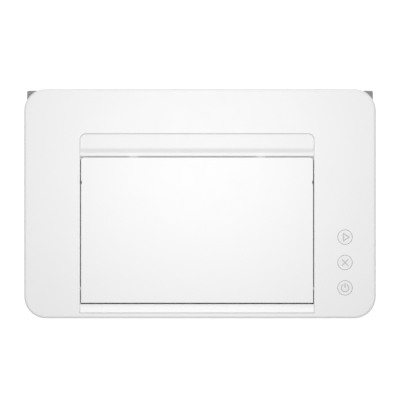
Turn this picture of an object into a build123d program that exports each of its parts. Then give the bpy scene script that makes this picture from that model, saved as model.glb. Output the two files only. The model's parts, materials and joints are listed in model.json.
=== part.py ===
from build123d import *
import math
import os

# A compact desktop laser printer, in millimetres.
# +X is the operator's right, +Y the rear and +Z up. The origin is on the desk, under the middle of the case.

# Case
WIDTH = 331.0
DEPTH = 216.0
HEIGHT = 178.0
CORNER_R = 20.6
WALL = 2.5
COVER_H = 32.0
TOP_EDGE_R = 2.5
SHOULDER_R = 4.5
LEDGE_W = 9.0
SKIRT_Z = 8.0
FOOT_H = 4.0
FOOT_R = 8.0
FOOT_INSET = 26.0
FOOT_CHAMFER = 0.8

# Clearances, and how far a cutting shape goes past what it cuts
SEAM_GAP = 0.5
JOINT_GAP = 0.5
FACE_GAP = 0.3
SHAFT_GAP = 0.15
PIN_GAP = 0.15
ROOM = 1.0
PAST = 1.0

# Paper path: it lies left of the middle, because the electronics fill the right side
PAPER_X = -2.8
PAPER_HALF = 105.0

# Output tray, let into the top cover
TRAY_HALF = 110.15
TRAY_FRONT_INSET = 5.0
TRAY_REAR_INSET = 42.3
TRAY_CORNER_R = 5.6
TRAY_EDGE_R = 0.8
TRAY_DEPTH = 27.0
TRAY_WALL = 2.5
LIP_W = 1.5
RAMP_DROP = 2.6
LEDGE_DROP = 4.0
LEDGE_L = 6.0
LEDGE_STEP = 1.8
LEDGE_RUN = 1.6
SCOOP_RUN = 5.5
SCOOP_BEND_DROP = 2.0
SCOOP_DROP = 1.0
SLOT_SETBACK = 11.0
SLOT_BELOW = 4.2
SLOT_ABOVE = 5.3
SLOT_HALF = 108.0
REST_PAD_X = 60.0
REST_PAD_W = 8.0

# Output flap
FLAP_SIDE_GAP = 0.9
FLAP_OVERLAP = 2.4
FLAP_FRONT_RUN = 9.6
FLAP_T = 2.4
FLAP_SINK = 0.2
FLAP_CORNER_R = 3.0
FLAP_EDGE_R = 0.5
FLAP_HINGE_RUN = 23.0
FLAP_HINGE_DROP = 5.0
FLAP_PIN_R = 1.6
FLAP_PIN_DEPTH = 2.3
FLAP_LUG_T = 3.0
FLAP_LUG_R = 2.6
FLAP_RIB_H = 1.6
FLAP_RIB_W = 1.5
FLAP_RIB_INSET = 14.0
FLAP_RIB_END = 6.0
FLAP_RIBS = 7
FLAP_OPEN_DEG = 146.0
FLAP_STOP_DEG = 1.5
WELL_GAP = 0.35
DETENT_SETBACK = 21.0
DETENT_LENGTH = 3.0
DETENT_DEPTH = 0.8

# Buttons, in a row from the front
BUTTONS = 3
BUTTON_SIDE_INSET = 29.1
BUTTON_FRONT_INSET = 28.7
BUTTON_PITCH = 23.9
BUTTON_R = 6.8
BUTTON_GAP = 0.22
BUTTON_H = 5.5
BUTTON_EDGE_R = 0.4
BUTTON_FLANGE_R = 8.6
BUTTON_FLANGE_T = 1.2
SWITCH_SIZE = 6.0
SWITCH_H = 2.5
SWITCH_ROOM = 1.0
BOARD_T = 1.6
BUTTON_BOARD_W = 22.0
BUTTON_BOARD_END = 17.0
BOARD_POST_R = 2.6
BOARD_POST_RUN = 13.5

# Top cover hinge
COVER_HINGE_INSET = 6.0
COVER_HINGE_RISE = 2.0
COVER_PIN_R = 2.5
HINGE_SIDE_INSET = 27.5
HINGE_POST_W = 8.0
HINGE_POST_R = 5.0
HINGE_POST_BACK = 3.4
HINGE_RIB_W = 3.5
HINGE_RIB_R = 4.3
HINGE_NOTCH_RISE = 6.0

# Front door, which folds down as the paper tray
DOOR_SIDE_INSET = 34.5
DOOR_TOP_GAP = 1.0
DOOR_KNUCKLE_R = 8.0
DOOR_RIM = 9.5
DOOR_EDGE_R = 1.2
DOOR_PIN_R = 2.5
DOOR_PIN_REACH = 3.7
DOOR_EAR_T = 3.0
DOOR_EAR_R = 4.0
DOOR_EAR_BACK = 6.0
GRIP_HALF = 34.0
GRIP_DEPTH = 7.0
GRIP_CORNER_R = 4.0
LINER_T = 1.6
LINER_GAP = 0.2
LINER_LOW = 3.0
LINER_TOP_GAP = 10.0
LINER_RIBS = 5
LINER_RIB_PITCH = 44.0
LINER_RIB_W = 3.0
LINER_RIB_H = 0.8
LINER_RIB_END = 8.0
LINER_WEB_T = 2.0

# Side air slots: rows up the wall, slots along it
SLOT_ROWS = 3
SLOTS_IN_ROW = 9
SLOT_PITCH = 6.0
AIR_SLOT_W = 2.6
AIR_SLOT_H = 10.0
AIR_ROW_PITCH = 14.0
AIR_SLOT_Z = 84.0
RIGHT_SLOTS_Y = 10.0

# Rear wall and jam door
REAR_WALL_INSET = 16.0
REAR_DROP = 5.5
REAR_CORNER_R = 1.5
REAR_DOOR_HALF = 108.5
REAR_DOOR_GAP = 0.7
REAR_DOOR_LOW_Z = 37.5
REAR_DOOR_H = 90.0
REAR_HINGE_RISE = 3.0
REAR_HINGE_INSET = 3.8
REAR_PIN_R = 1.8
REAR_LUG_R = 2.9
REAR_LUG_T = 3.0
REAR_SWING_GAP = 1.9
REAR_CHEEK = 6.0
REAR_RIB_DEPTH = 6.0
REAR_RIB_END = 12.0
REAR_RIBS = 11
REAR_RIB_W = 1.8
REAR_RIB_SPAN = 190.0
LATCH_X = 30.0
LATCH_W = 12.0
LATCH_H = 5.0
LATCH_DEPTH = 1.4
SCREW_INSET = 15.5
SCREW_R = 3.4
SCREW_H = 1.4
SCREW_POCKET = 1.6
SCREW_SLOT_W = 0.8
SCREW_SLOT_L = 4.8
SCREW_SLOT_H = 0.6
SCREW_LOW_Z = 26.0
SCREW_MID_Z = 62.0
SCREW_HIGH_Z = 126.0

# Mains inlet: its blades are (x, z) steps from its middle
INLET_SIDE_INSET = 24.5
INLET_Z = 34.0
INLET_W = 28.0
INLET_H = 20.0
INLET_LENGTH = 21.6
INLET_MOUTH_W = 24.0
INLET_MOUTH_H = 16.0
INLET_BEVEL = 5.0
INLET_CAVITY = 17.0
INLET_FLANGE_W = 5.0
INLET_FLANGE_H = 2.0
INLET_BLADE_L = 12.0
INLET_BLADE_W = 2.0
INLET_BLADE_H = 4.0
INLET_BLADES = [(-7.0, -2.0), (7.0, -2.0), (0.0, 2.0)]
SOCKET_SINK = 0.4
SOCKET_GAP = 0.2

# Data socket
USB_W = 12.0
USB_H = 11.0
USB_LENGTH = 15.6
USB_MOUTH_W = 8.6
USB_MOUTH_H = 7.8
USB_CAVITY = 9.0
USB_TONGUE_W = 5.6
USB_TONGUE_H = 3.2
USB_TONGUE_SINK = 2.0
USB_RISE = 8.0

# Engine frame
PLATE_IN = 119.5
PLATE_T = 2.5
ENGINE_FRONT_INSET = 15.5
ENGINE_TOP_DROP = 3.0
EXIT_TOP_DROP = 10.0
EXIT_STEP_RUN = 7.0
EXIT_TOP_RUN = 22.0
REAR_SLOPE_RISE = 7.0
REAR_SLOPE_RUN = 4.0
WINDOW_RUN = (-110.0, -80.0)
WINDOW_RISE = (-2.0, 26.0)
BASE_T = 2.5
BASE_INSET = WALL + FACE_GAP
RAIL_T = 2.0
RAIL_TOP_Z = 20.0
BASE_SLOTS = 8
BASE_SLOT_PITCH = 14.0
BASE_SLOT_W = 3.0
BASE_SLOTS_Y = -30.0
INNER_PANEL_T = 2.5
INNER_PANEL_RIBS = 7
INNER_RIB_PITCH = 32.0
INNER_RIB_W = 2.0
INNER_RIB_DEPTH = 5.0
INNER_RIB_DROP = 30.0
INNER_LEDGE_L = 12.0
INNER_LEDGE_T = 2.0

# Rollers
DRUM_REAR_INSET = 48.0
DRUM_TOP_DROP = 80.0
DRUM_R = 12.0
DRUM_HALF = 111.0
FEED_R = 7.0
FEED_DEG = -63.0
PINCH_R = 4.4
HEAT_R = 10.5
HEAT_DEG = 80.0
PRESSURE_R = 9.5
NIP_GAP = 0.4
PICKUP_REAR_INSET = 56.0
PICKUP_Z = 50.0
PICKUP_R = 12.0
PICKUP_W = 46.0
TYRE_T = 3.0
EXIT_REAR_INSET = 56.0
EXIT_TOP_INSET = 22.5
EXIT_R = 5.0
EXIT_IDLER_R = 3.5
SHAFT_R = 3.0
THIN_SHAFT_R = 1.5
ROLLER_HALF = 108.0
BUSH_WALL = 1.8
BUSH_FIT = 0.02
BUSH_LIP = 0.8
FEED_TYRES = (-70.0, 0.0, 70.0)
FEED_TYRE_W = 32.0
PINCH_TYRE_W = 24.0
EXIT_TYRES = (-82.0, -30.0, 30.0, 82.0)
EXIT_TYRE_W = 16.0
EXIT_IDLER_W = 10.0

# Gears and drive
MODULE = 1.0
PRESSURE_DEG = 20.0
TOOTH_PLAY = 0.34
ADDENDUM = 0.85
DEDENDUM = 1.25
GEAR_W = 6.0
GEAR_GAP = 1.2
SHAFT_END = 0.5
DRUM_TEETH = 36
FUSER_TEETH = 28
FEED_TEETH = 26
EXIT_TEETH = 14
CARRIER_TEETH = 14
REDUCTION_TEETH = 44
REDUCTION_DEG = 164.0
REDUCTION_HOLES = 6
REDUCTION_HOLE_R = 4.0
REDUCTION_HOLE_RUN = 13.0
MOTOR_TEETH = 12
MOTOR_DEG = 205.0
RIGHT_DRUM_TEETH = 22
TRANSFER_TEETH = 18
RIGHT_GEAR_W = 4.5
RIGHT_GEAR_INSET = 3.0
BRACKET_T = 1.5
BRACKET_POST_R = 3.0
BRACKET_MARGIN = 5.0
MOTOR_R = 19.0
MOTOR_L = 21.0
MOTOR_EDGE_R = 2.0
MOTOR_FLANGE_W = 42.0
MOTOR_FLANGE_H = 24.0
MOTOR_FLANGE_T = 2.0
MOTOR_BOSS_R = 4.0

# Sheet support and guides
TRAY_PLATE_Z = 14.0
TRAY_PLATE_T = 1.5
TRAY_PLATE_L = 42.0
LEG_T = 2.0
LIFT_HINGE_RUN = 47.5
LIFT_HINGE_Z = 17.0
LIFT_END_RUN = 5.0
LIFT_T = 1.5
LIFT_GAP = 0.5
LIFT_FLANGE_H = 5.0
LIFT_HALF = 107.0
SPRING_SETBACK = 10.0
SPRING_R = 6.0
SPRING_WIRE = 1.2
SPRING_SEAT_R = 3.8
SPRING_SEAT_H = 4.0
PAD_HALF = 18.0
PAD_DEG = -40.0
PAD_GAP = 0.4
PAD_UP = 7.0
PAD_DOWN = 4.0
PAD_BLOCK_RUN = 9.0
PAD_BLOCK_L = 11.0
GUIDE_TRAVEL = 66.0
GUIDE_TOP_Z = 44.0
GUIDE_FRONT_RUN = 2.5
GUIDE_L = 37.0
GUIDE_T = 2.2
GUIDE_SLACK = 0.5
GUIDE_LIFT = 0.2
GUIDE_CORNER_R = 8.0
GUIDE_FOOT_W = 9.0
GUIDE_FOOT_T = 1.2
GUIDE_FOOT_INSET = 3.0
GUIDE_TEETH = 14
PINION_RUN = 21.0
PINION_POST_R = 2.5
PINION_SEAT_R = 5.0
RACK_Z = 8.5
RACK_T = 4.0
RACK_BACK = 3.0
RACK_END = 104.0
RACK_SPARE_TEETH = 4
STEM_W = 5.0
STEM_T = 3.0

# Laser scanner
SCANNER_DRUM_DROP = 36.5
SCANNER_DRUM_RUN = 36.0
SCANNER_FRONT_RUN = 6.5
SCANNER_H = 25.0
SCANNER_HALF = 98.0
SCANNER_WALL = 2.0
SCANNER_LID_T = 1.2
LID_PANELS = 4
LID_PANEL_PITCH = 44.0
LID_PANEL_W = 28.0
LID_PANEL_L = 40.0
LID_PANEL_H = 0.8
SHELF_T = 1.5
SHELF_EDGE = 4.0
SHELF_LIP_H = 8.0
BEAM_LOW = 10.0
BEAM_H = 10.0
BEAM_END = 12.0
POLYGON_R = 14.0
POLYGON_H = 5.0
POLYGON_HUB_R = 7.0
POLYGON_HUB_H = 9.0
POLYGON_X = -6.0
POLYGON_RUN = 40.0
MIRROR_MOTOR_R = 13.0
MIRROR_MOTOR_H = 5.0
MIRROR_PIN_R = 2.0
MIRROR_PIN_H = 8.0
LENS_HALF = 70.0
LENS_RUN = 36.0
LENS_EDGE = 5.0
LENS_MIDDLE = 12.0
LENS_H = 13.0

# Toner cartridge: outline points are (y, z) steps from the drum's shaft
CARTRIDGE_HALF = 115.5
CARTRIDGE_WALL = 2.0
CARTRIDGE_CAP_GAP = 1.3
CARTRIDGE_UNDER = [(-98.0, -1.0), (-32.0, -6.0)]
CARTRIDGE_THROAT = [(-18.0, -2.5), (-14.0, 7.0), (-10.0, 14.0)]
CARTRIDGE_OVER = [(-11.0, 36.0), (-18.0, 42.0), (-88.0, 42.0), (-98.0, 33.0)]
CAP_NOSE = [(-14.0, -14.0), (14.0, -14.0), (14.0, 12.0), (-10.0, 15.0)]
CAP_HOLE_R = 13.0
CAP_GEAR_GAP = 2.0
GRIP_BAR_HALF = 32.0
GRIP_BAR_RUN = (-86.0, -72.0)
GRIP_BAR_H = 8.0
GRIP_BAR_R = 3.0
GRIP_BAR_RIBS = 5
GRIP_RIB_PITCH = 9.0
GRIP_RIB_H = 0.5

# Fuser cover and exit guide
FUSER_WALL = 1.5
FUSER_FRONT_GAP = 3.5
FUSER_REAR_GAP = 3.1
FUSER_LOW_GAP = 1.0
FUSER_TOP_GAP = 3.5
FUSER_MOUTH_FRONT = 5.0
FUSER_MOUTH_REAR = 2.0
FUSER_BEVEL = 6.0
TURN_RUN = 8.0
TURN_RISE = 5.0
TURN_R = 20.0
TURN_WALL = 2.0
TURN_DEGS = (3.0, 42.0, 82.0)

# Circuit boards: components are (y, z, length, height, thickness) from the board's lower front corner
STANDOFF = 5.0
STANDOFF_R = 2.5
STANDOFF_INSET = 6.0
MAIN_BOARD_L = 164.0
MAIN_BOARD_Z = (76.0, 124.0)
MAIN_PARTS = [
    (64, 24, 22, 22, 2),
    (24, 28, 14, 20, 2),
    (104, 34, 26, 8, 6),
    (34, 10, 30, 5, 7),
    (94, 10, 12, 12, 3),
]
POWER_BOARD_L = 136.0
POWER_BOARD_Z = (22.0, 68.0)
POWER_PARTS = [
    (24, 22, 30, 26, 24),
    (64, 18, 22, 22, 25),
    (100, 14, 16, 22, 18),
    (84, 38, 30, 6, 12),
    (54, 38, 14, 6, 10),
]
BOARD_REAR_INSET = 8.0
POWER_BOARD_REAR_INSET = 36.0

# Fan
FAN_RUN = 46.0
FAN_Z = 105.0
FAN_SIZE = 50.0
FAN_DEPTH = 15.0
FAN_BORE_WALL = 1.5
FAN_BLADES = 7
FAN_HUB_R = 10.5
FAN_HUB_L = 11.5
FAN_PIN_L = 10.0
FAN_TIP_GAP = 0.8
FAN_BLADE_T = 1.2
FAN_BLADE_W = 9.0
FAN_TWIST_DEG = 38.0
FAN_ARM_W = 3.0

# Worked out from the above: the case
HALF_W = WIDTH / 2
FRONT_Y = -DEPTH / 2
REAR_Y = DEPTH / 2
SEAM_Z = HEIGHT - COVER_H
INNER_TOP_Z = HEIGHT - WALL
PLATE_OUT = PLATE_IN + PLATE_T
ENGINE_FRONT_Y = FRONT_Y + ENGINE_FRONT_INSET
ENGINE_REAR_Y = REAR_Y - REAR_WALL_INSET
ENGINE_TOP_Z = SEAM_Z - ENGINE_TOP_DROP
REAR_TOP_Z = SEAM_Z - REAR_DROP
REAR_INNER_Y = REAR_Y - WALL
FLOOR_Z = FOOT_H + BASE_T
COVER_HINGE = (REAR_Y - COVER_HINGE_INSET, SEAM_Z + COVER_HINGE_RISE)
HINGE_X = HALF_W - HINGE_SIDE_INSET
DOOR_HALF = HALF_W - DOOR_SIDE_INSET
DOOR_TOP_Z = SEAM_Z - DOOR_TOP_GAP
DOOR_HINGE = (FRONT_Y + DOOR_KNUCKLE_R, FOOT_H + DOOR_KNUCKLE_R)
DOOR_RIM_Y = FRONT_Y + DOOR_RIM
BEHIND_DOOR_Y = DOOR_HINGE[0] + DOOR_KNUCKLE_R + ROOM
REAR_HINGE = (REAR_Y - REAR_HINGE_INSET, REAR_DOOR_LOW_Z + REAR_HINGE_RISE)
REAR_DOOR_Z = (REAR_DOOR_LOW_Z, REAR_DOOR_LOW_Z + REAR_DOOR_H)
SOCKET_REAR_Y = REAR_Y - SOCKET_SINK
INLET_X = HALF_W - INLET_SIDE_INSET

# Worked out from the above: electronics
BUTTON_X = HALF_W - BUTTON_SIDE_INSET
BUTTON_YS = [FRONT_Y + BUTTON_FRONT_INSET + BUTTON_PITCH * n for n in range(BUTTONS)]
BUTTON_BOARD_Z = HEIGHT - BUTTON_H - SWITCH_ROOM - SWITCH_H - BOARD_T
BOARD_X = PAPER_X + PLATE_OUT + STANDOFF
BOARD_FACE_X = BOARD_X + BOARD_T
USB_X = BOARD_FACE_X + USB_W / 2
USB_Z = MAIN_BOARD_Z[0] + USB_RISE
FAN_AT = (FRONT_Y + FAN_RUN, FAN_Z)
FAN_X = (-HALF_W + WALL + FACE_GAP, -HALF_W + WALL + FACE_GAP + FAN_DEPTH)

# Worked out from the above: gear and shaft ends
LEFT_GEARS_X = PAPER_X - PLATE_OUT - GEAR_GAP
RIGHT_GEARS_X = PAPER_X + PLATE_IN - RIGHT_GEAR_INSET
BRACKET_X = LEFT_GEARS_X - GEAR_W - GEAR_GAP
BRACKET_OUT_X = BRACKET_X - BRACKET_T
GEAR_REACH = PAPER_X - BRACKET_OUT_X + SHAFT_END
BUSH_R = SHAFT_R + SHAFT_GAP + BUSH_WALL


def pitch_radius(teeth):
    return MODULE * teeth / 2


def beside(centre, distance, degrees):
    """The (y, z) point at a distance from another, at an angle measured from +Y towards +Z."""
    angle = math.radians(degrees)
    return (centre[0] + distance * math.cos(angle), centre[1] + distance * math.sin(angle))


def behind_both(low, low_r, high, high_r):
    """The point at the given distances from two others, on their rear side."""
    gap_y, gap_z = high[0] - low[0], high[1] - low[1]
    gap = math.hypot(gap_y, gap_z)
    along = (low_r**2 - high_r**2 + gap**2) / (2 * gap)
    aside = math.sqrt(low_r**2 - along**2)
    return (low[0] + (along * gap_y + aside * gap_z) / gap, low[1] + (along * gap_z - aside * gap_y) / gap)


# Shafts, as (y, z)
DRUM_AT = (REAR_Y - DRUM_REAR_INSET, HEIGHT - DRUM_TOP_DROP)
PICKUP_AT = (REAR_Y - PICKUP_REAR_INSET, PICKUP_Z)
EXIT_AT = (REAR_Y - EXIT_REAR_INSET, HEIGHT - EXIT_TOP_INSET)
TRANSFER_RUN = pitch_radius(RIGHT_DRUM_TEETH + TRANSFER_TEETH)
TRANSFER_R = TRANSFER_RUN - DRUM_R - NIP_GAP
TRANSFER_AT = beside(DRUM_AT, TRANSFER_RUN, 0.0)
FEED_AT = beside(DRUM_AT, pitch_radius(DRUM_TEETH + FEED_TEETH), FEED_DEG)
PINCH_AT = beside(FEED_AT, FEED_R + PINCH_R + NIP_GAP, 0.0)
HEAT_AT = beside(DRUM_AT, pitch_radius(DRUM_TEETH + FUSER_TEETH), HEAT_DEG)
PRESSURE_AT = beside(HEAT_AT, HEAT_R + PRESSURE_R + NIP_GAP, 0.0)
EXIT_IDLER_AT = beside(EXIT_AT, EXIT_R + EXIT_IDLER_R + NIP_GAP, 90.0)
CARRIER_AT = behind_both(
    HEAT_AT, pitch_radius(FUSER_TEETH + CARRIER_TEETH), EXIT_AT, pitch_radius(CARRIER_TEETH + EXIT_TEETH)
)
REDUCTION_AT = beside(DRUM_AT, pitch_radius(DRUM_TEETH + REDUCTION_TEETH), REDUCTION_DEG)
MOTOR_AT = beside(REDUCTION_AT, pitch_radius(REDUCTION_TEETH + MOTOR_TEETH), MOTOR_DEG)
BUSHED_SHAFTS = [TRANSFER_AT, FEED_AT, PINCH_AT, HEAT_AT, PRESSURE_AT, EXIT_AT, PICKUP_AT, DRUM_AT]

# Output tray and flap
TRAY_FRONT_Y = FRONT_Y + TRAY_FRONT_INSET
TRAY_REAR_Y = REAR_Y - TRAY_REAR_INSET
SLOT_WALL_Y = EXIT_AT[0] - SLOT_SETBACK
LEDGE_END_Y = SLOT_WALL_Y + LEDGE_L
SCOOP_BEND_Y = LEDGE_END_Y + SCOOP_RUN
LEDGE_Z = HEIGHT - LEDGE_DROP
REST_Z = LEDGE_Z - LEDGE_STEP
TRAY_FLOOR_Z = HEIGHT - TRAY_DEPTH
NIP_Z = EXIT_AT[1] + EXIT_R + NIP_GAP / 2
SLOT_Z = (NIP_Z - SLOT_BELOW, NIP_Z + SLOT_ABOVE)
FLAP_HINGE = (TRAY_FRONT_Y + FLAP_HINGE_RUN, HEIGHT - FLAP_HINGE_DROP)
FLAP_HALF = TRAY_HALF - FLAP_SIDE_GAP
FLAP_Y = (TRAY_FRONT_Y + FLAP_FRONT_RUN, SLOT_WALL_Y + FLAP_OVERLAP)
FLAP_Z = (HEIGHT - FLAP_SINK - FLAP_T, HEIGHT - FLAP_SINK)
WELL_R = math.hypot(FLAP_HINGE[0] - FLAP_Y[0], FLAP_Z[1] - FLAP_HINGE[1]) + WELL_GAP
FLAP_END_DEG = math.degrees(math.atan2(FLAP_Z[1] - FLAP_HINGE[1], FLAP_Y[0] - FLAP_HINGE[0]))
WELL_END = beside(FLAP_HINGE, WELL_R, FLAP_END_DEG + FLAP_OPEN_DEG + FLAP_STOP_DEG)
DETENT_Y = SLOT_WALL_Y - DETENT_SETBACK

# Lift plate and paper guides: the plate's slope brings its top under the pick-up roller
LIFT_HINGE = (ENGINE_FRONT_Y + LIFT_HINGE_RUN, LIFT_HINGE_Z)
LIFT_REACH = math.hypot(PICKUP_AT[0] - LIFT_HINGE[0], PICKUP_AT[1] - LIFT_HINGE[1])
LIFT_DEG = math.degrees(
    math.atan2(PICKUP_AT[1] - LIFT_HINGE[1], PICKUP_AT[0] - LIFT_HINGE[0])
    - math.asin((PICKUP_R + LIFT_GAP + LIFT_T / 2) / LIFT_REACH)
)
LIFT_L = (PICKUP_AT[0] + LIFT_END_RUN - LIFT_HINGE[0]) / math.cos(math.radians(LIFT_DEG))
SPRING_Y = PICKUP_AT[0] - SPRING_SETBACK
TRAY_PLATE_TOP = TRAY_PLATE_Z + TRAY_PLATE_T
GUIDE_Y = (ENGINE_FRONT_Y + GUIDE_FRONT_RUN, ENGINE_FRONT_Y + GUIDE_FRONT_RUN + GUIDE_L)
PINION_Y = ENGINE_FRONT_Y + PINION_RUN
RACK_LINE = pitch_radius(GUIDE_TEETH)
RACK_ROOT = RACK_LINE + DEDENDUM * MODULE
STEM_OFFSET = RACK_ROOT + RACK_BACK / 2

# Scanner and drive bracket
SCANNER_Z = DRUM_AT[1] - SCANNER_DRUM_DROP
SCANNER_Y = (ENGINE_FRONT_Y + SCANNER_FRONT_RUN, DRUM_AT[0] - SCANNER_DRUM_RUN)
SCANNER_FLOOR = SCANNER_Z + SCANNER_WALL
POLYGON_AT = (POLYGON_X, ENGINE_FRONT_Y + POLYGON_RUN)
INNER_PANEL_Z = SCANNER_Z - SHELF_T - INNER_LEDGE_T
CARTRIDGE_TOP_Z = DRUM_AT[1] + CARTRIDGE_OVER[1][1]
BRACKET_Y = (MOTOR_AT[0] - MOTOR_R - 2 * BRACKET_MARGIN, ENGINE_REAR_Y - ROOM)
BRACKET_Z = (FEED_AT[1] - pitch_radius(FEED_TEETH) - BRACKET_MARGIN, ENGINE_TOP_Z - ROOM)
BRACKET_HIGH_Y = (EXIT_AT[0] - pitch_radius(EXIT_TEETH) - BRACKET_MARGIN, CARRIER_AT[0] + 2 * BRACKET_MARGIN)
BRACKET_HIGH_Z = (BRACKET_Z[1], EXIT_AT[1] + pitch_radius(EXIT_TEETH) + BRACKET_MARGIN)


def block(x, y, z):
    """A box from its two limits on each axis, given in either order."""
    limits = [sorted(pair) for pair in (x, y, z)]
    size = [high - low for low, high in limits]
    middle = [(high + low) / 2 for low, high in limits]
    return Pos(*middle) * Box(*size)


def spread(centre, size):
    """The two limits of a length about its middle."""
    return (centre - size / 2, centre + size / 2)


def about_paper(half):
    return (PAPER_X - half, PAPER_X + half)


def longer(limits):
    """The same limits, pushed out for a clean cut."""
    return (min(limits) - PAST, max(limits) + PAST)


def rod_x(at, radius, x):
    return Pos(sum(x) / 2, at[0], at[1]) * Rot(0, 90, 0) * Cylinder(radius, abs(x[1] - x[0]))


def rod_y(x, z, radius, y):
    return Pos(x, sum(y) / 2, z) * Rot(90, 0, 0) * Cylinder(radius, y[1] - y[0])


def rod_z(x, y, radius, z):
    return Pos(x, y, sum(z) / 2) * Cylinder(radius, z[1] - z[0])


def polygon(points):
    return make_face(Polyline(*points, close=True))


def along_x(face, x):
    """A face drawn in (y, z), carried from one x to the other."""
    start = min(x)
    side = Plane(origin=(start, 0, 0), x_dir=(0, 1, 0), z_dir=(1, 0, 0))
    return extrude(side * face, amount=max(x) - start)


def slab_x(points, x):
    return along_x(polygon(points), x)


def slab_y(points, y):
    """A polygon drawn in (x, z), carried forward from the rear limit."""
    back = Plane(origin=(0, y[1], 0), x_dir=(1, 0, 0), z_dir=(0, -1, 0))
    return extrude(back * polygon(points), amount=y[1] - y[0])


def round_top(shape, radius):
    return fillet(shape.faces().sort_by(Axis.Z)[-1].edges(), radius)


def case_block(inset, z, rear_run=0.0):
    """The rounded plan of the case, set in by an amount. A rear run carries it on past the rear."""
    depth = DEPTH - 2 * inset + rear_run
    plan = RectangleRounded(WIDTH - 2 * inset, depth, CORNER_R - inset)
    return Pos(0, rear_run / 2, z[0]) * extrude(plan, amount=z[1] - z[0])


# Gears

def involute(angle):
    return math.tan(angle) - angle


def tooth_half_angle(teeth, radius):
    """Half the angle that an involute tooth fills at a radius, less its play."""
    pitch = pitch_radius(teeth)
    at_pitch = math.radians(PRESSURE_DEG)
    base = pitch * math.cos(at_pitch)
    slope = math.acos(base / max(radius, base))
    return (math.pi * MODULE - TOOTH_PLAY) / (4 * pitch) + involute(at_pitch) - involute(slope)


def gear_face(teeth, at, phase_deg):
    """A spur gear's outline about a point, with one tooth centred on the phase angle."""
    steps = (-DEDENDUM, -DEDENDUM / 2, DEDENDUM / 8, ADDENDUM)
    flank = [pitch_radius(teeth) + step * MODULE for step in steps]
    points = []
    for tooth in range(teeth):
        middle = math.radians(phase_deg) + 2 * math.pi * tooth / teeth
        sides = [(r, middle - tooth_half_angle(teeth, r)) for r in flank]
        sides += [(r, middle + tooth_half_angle(teeth, r)) for r in reversed(flank)]
        points += [(at[0] + r * math.cos(a), at[1] + r * math.sin(a)) for r, a in sides]
    return polygon(points)


def meshed_phase(phase_deg, teeth, at, other_teeth, other_at):
    """The phase that puts the other gear's gap where this gear's tooth is."""
    towards = math.atan2(other_at[1] - at[1], other_at[0] - at[0])
    offset = (math.radians(phase_deg) - towards) * pitch_radius(teeth)
    back = towards + math.pi - (offset + math.pi * MODULE / 2) / pitch_radius(other_teeth)
    return math.degrees(back)


DRUM_PHASE = 0.0
FUSER_PHASE = meshed_phase(DRUM_PHASE, DRUM_TEETH, DRUM_AT, FUSER_TEETH, HEAT_AT)
FEED_PHASE = meshed_phase(DRUM_PHASE, DRUM_TEETH, DRUM_AT, FEED_TEETH, FEED_AT)
REDUCTION_PHASE = meshed_phase(DRUM_PHASE, DRUM_TEETH, DRUM_AT, REDUCTION_TEETH, REDUCTION_AT)
MOTOR_PHASE = meshed_phase(REDUCTION_PHASE, REDUCTION_TEETH, REDUCTION_AT, MOTOR_TEETH, MOTOR_AT)
CARRIER_PHASE = meshed_phase(FUSER_PHASE, FUSER_TEETH, HEAT_AT, CARRIER_TEETH, CARRIER_AT)
EXIT_PHASE = meshed_phase(CARRIER_PHASE, CARRIER_TEETH, CARRIER_AT, EXIT_TEETH, EXIT_AT)
TRANSFER_PHASE = meshed_phase(DRUM_PHASE, RIGHT_DRUM_TEETH, DRUM_AT, TRANSFER_TEETH, TRANSFER_AT)
PINION_PHASE = 90.0 + 180.0 / GUIDE_TEETH


def left_gear(teeth, at, phase_deg):
    return along_x(gear_face(teeth, at, phase_deg), (LEFT_GEARS_X - GEAR_W, LEFT_GEARS_X))


def right_gear(teeth, at, phase_deg):
    return along_x(gear_face(teeth, at, phase_deg), (RIGHT_GEARS_X - RIGHT_GEAR_W, RIGHT_GEARS_X))


def frame_shaft(at, radius=SHAFT_R, left=PLATE_OUT):
    """A shaft that ends at the right plate's outer face and reaches a distance to the left."""
    return rod_x(at, radius, (PAPER_X - left, PAPER_X + PLATE_OUT))


def tyres(at, radius, centres, width):
    """Equal rings along a shaft."""
    return [rod_x(at, radius, spread(PAPER_X + x, width)) for x in centres]


# Top cover

def tray_opening(z, grow=0.0):
    """The plan of the output tray with its two rear corners rounded, as a cutter."""
    depth = TRAY_REAR_Y - TRAY_FRONT_Y + grow
    plan = Pos(PAPER_X, TRAY_FRONT_Y + depth / 2) * Rectangle(2 * (TRAY_HALF + grow), depth)
    plan = fillet(plan.vertices().group_by(Axis.Y)[-1], TRAY_CORNER_R + grow)
    return Pos(0, 0, z[0]) * extrude(plan, amount=z[1] - z[0])


def hinge_rib(side):
    """A rib under the top panel, with the pin that turns in the rear wall's post."""
    y, z = COVER_HINGE
    inner = side * (HINGE_X - HINGE_POST_W / 2 - JOINT_GAP)
    rib_x = (inner, inner - side * HINGE_RIB_W)
    rib = block(rib_x, (y - HINGE_RIB_R, REAR_INNER_Y), (z, INNER_TOP_Z))
    rib += rod_x(COVER_HINGE, HINGE_RIB_R, rib_x)
    rib -= block(rib_x, (REAR_INNER_Y, REAR_Y), (z - HINGE_RIB_R, INNER_TOP_Z))
    return rib + rod_x(COVER_HINGE, COVER_PIN_R, (inner, inner + side * (HINGE_POST_W + 2 * JOINT_GAP)))


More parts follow.
